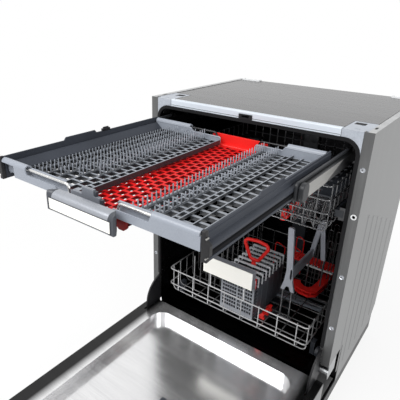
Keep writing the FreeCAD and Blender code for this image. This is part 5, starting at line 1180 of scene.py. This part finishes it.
grid_plate("z", lattice_lines(bx0 + BASKET_PLAY, bx1 - BASKET_PLAY, 3, 8),
           lattice_lines(by0 + BASKET_PLAY, by1 - BASKET_PLAY, 3, 14), bars, bz0, bz0 + BASKET_WALL)
piece("basket_sides", basket_dark, "lower_rack", bevel=0.3)
for near in evenly(by0, by1 - RIB_THICK, RIB_COUNT):
    prism("y", RIB_LINE, near, near + RIB_THICK)
piece("basket_combs", pale_grey, "lower_rack", bevel=0.5)
for x in evenly(bx0 + 18, bx1 - 20, 4):
    slab(x, x + INNER_BAR, by0 + 1, by1 - 1, bz1 - 10, bz1 - 5)
piece("basket_inner_bars", black_plastic, "lower_rack", bevel=0.4)
tube(bent([(x, LOOP_Y, z) for x, z in LOOP_LINE], LOOP_CORNER, closed=True), LOOP_RADIUS, sides=14, closed=True)
slab(*LOOP_TONGUE)
slab(*LOOP_CATCH)
piece("basket_loop", red, "lower_rack", stands_for=("basket_handle",))

# Tall-piece holder.
# Slate plastic post and fork, moulded flat and joined by a beam; both stand on thin coated stems and
# bars over the floor wires.
holder_slate = look("holder_slate", (0.28, 0.296, 0.34), (0.40, 0.42, 0.475), (0.32, 0.46))
POST_X = 126
FORK_X = 149
POST_Y = 92
FORK_Y = 240
HOLDER_FOOT = 206.2
HOLDER_THICK = 8
STEM_RADIUS = 2.4
POST_LINE = [(-21, 307), (-9, 307), (-4, 321), (4, 321), (9, 307), (21, 307), (13, 338),
             (9.5, 373), (-2.5, 503), (-5.5, 506), (-16.5, 506), (-19.5, 503), (-9.5, 373), (-13, 338)]
FORK_LINE = [(-27, 352), (-12, 352), (0, 440), (12, 352), (27, 352), (9, 478), (6, 482), (-6, 482), (-9, 478)]
HOLDER_STEMS = ((POST_X, POST_Y, 13.5, 312), (FORK_X, FORK_Y, 22, 357))
HOLDER_BARS = ((POST_X - 20.5, POST_X + 21, POST_Y), (FORK_X - 27, FORK_X + 56, FORK_Y))
for middle, near, line in ((POST_X, POST_Y, POST_LINE), (FORK_X, FORK_Y, FORK_LINE)):
    prism("y", [(middle + x, z) for x, z in line], near, near + HOLDER_THICK)
prism("y", rounded(POST_X + 2, POST_X + 10, 347, 381, 2), POST_Y, FORK_Y + 1)
piece("tall_piece_holder", holder_slate, "lower_rack", bevel=1.2, stands_for=("tall_holder",))
for middle, near, apart, top in HOLDER_STEMS:
    for x in (middle - apart, middle + apart):
        tube([(x, near + 4, HOLDER_FOOT), (x, near + 4, top)], STEM_RADIUS)
for x0, x1, near in HOLDER_BARS:
    slab(x0, x1, near, near + HOLDER_THICK, HOLDER_FOOT, HOLDER_FOOT + 8)
piece("holder_stems", coated_dark, "lower_rack", bevel=0.6)
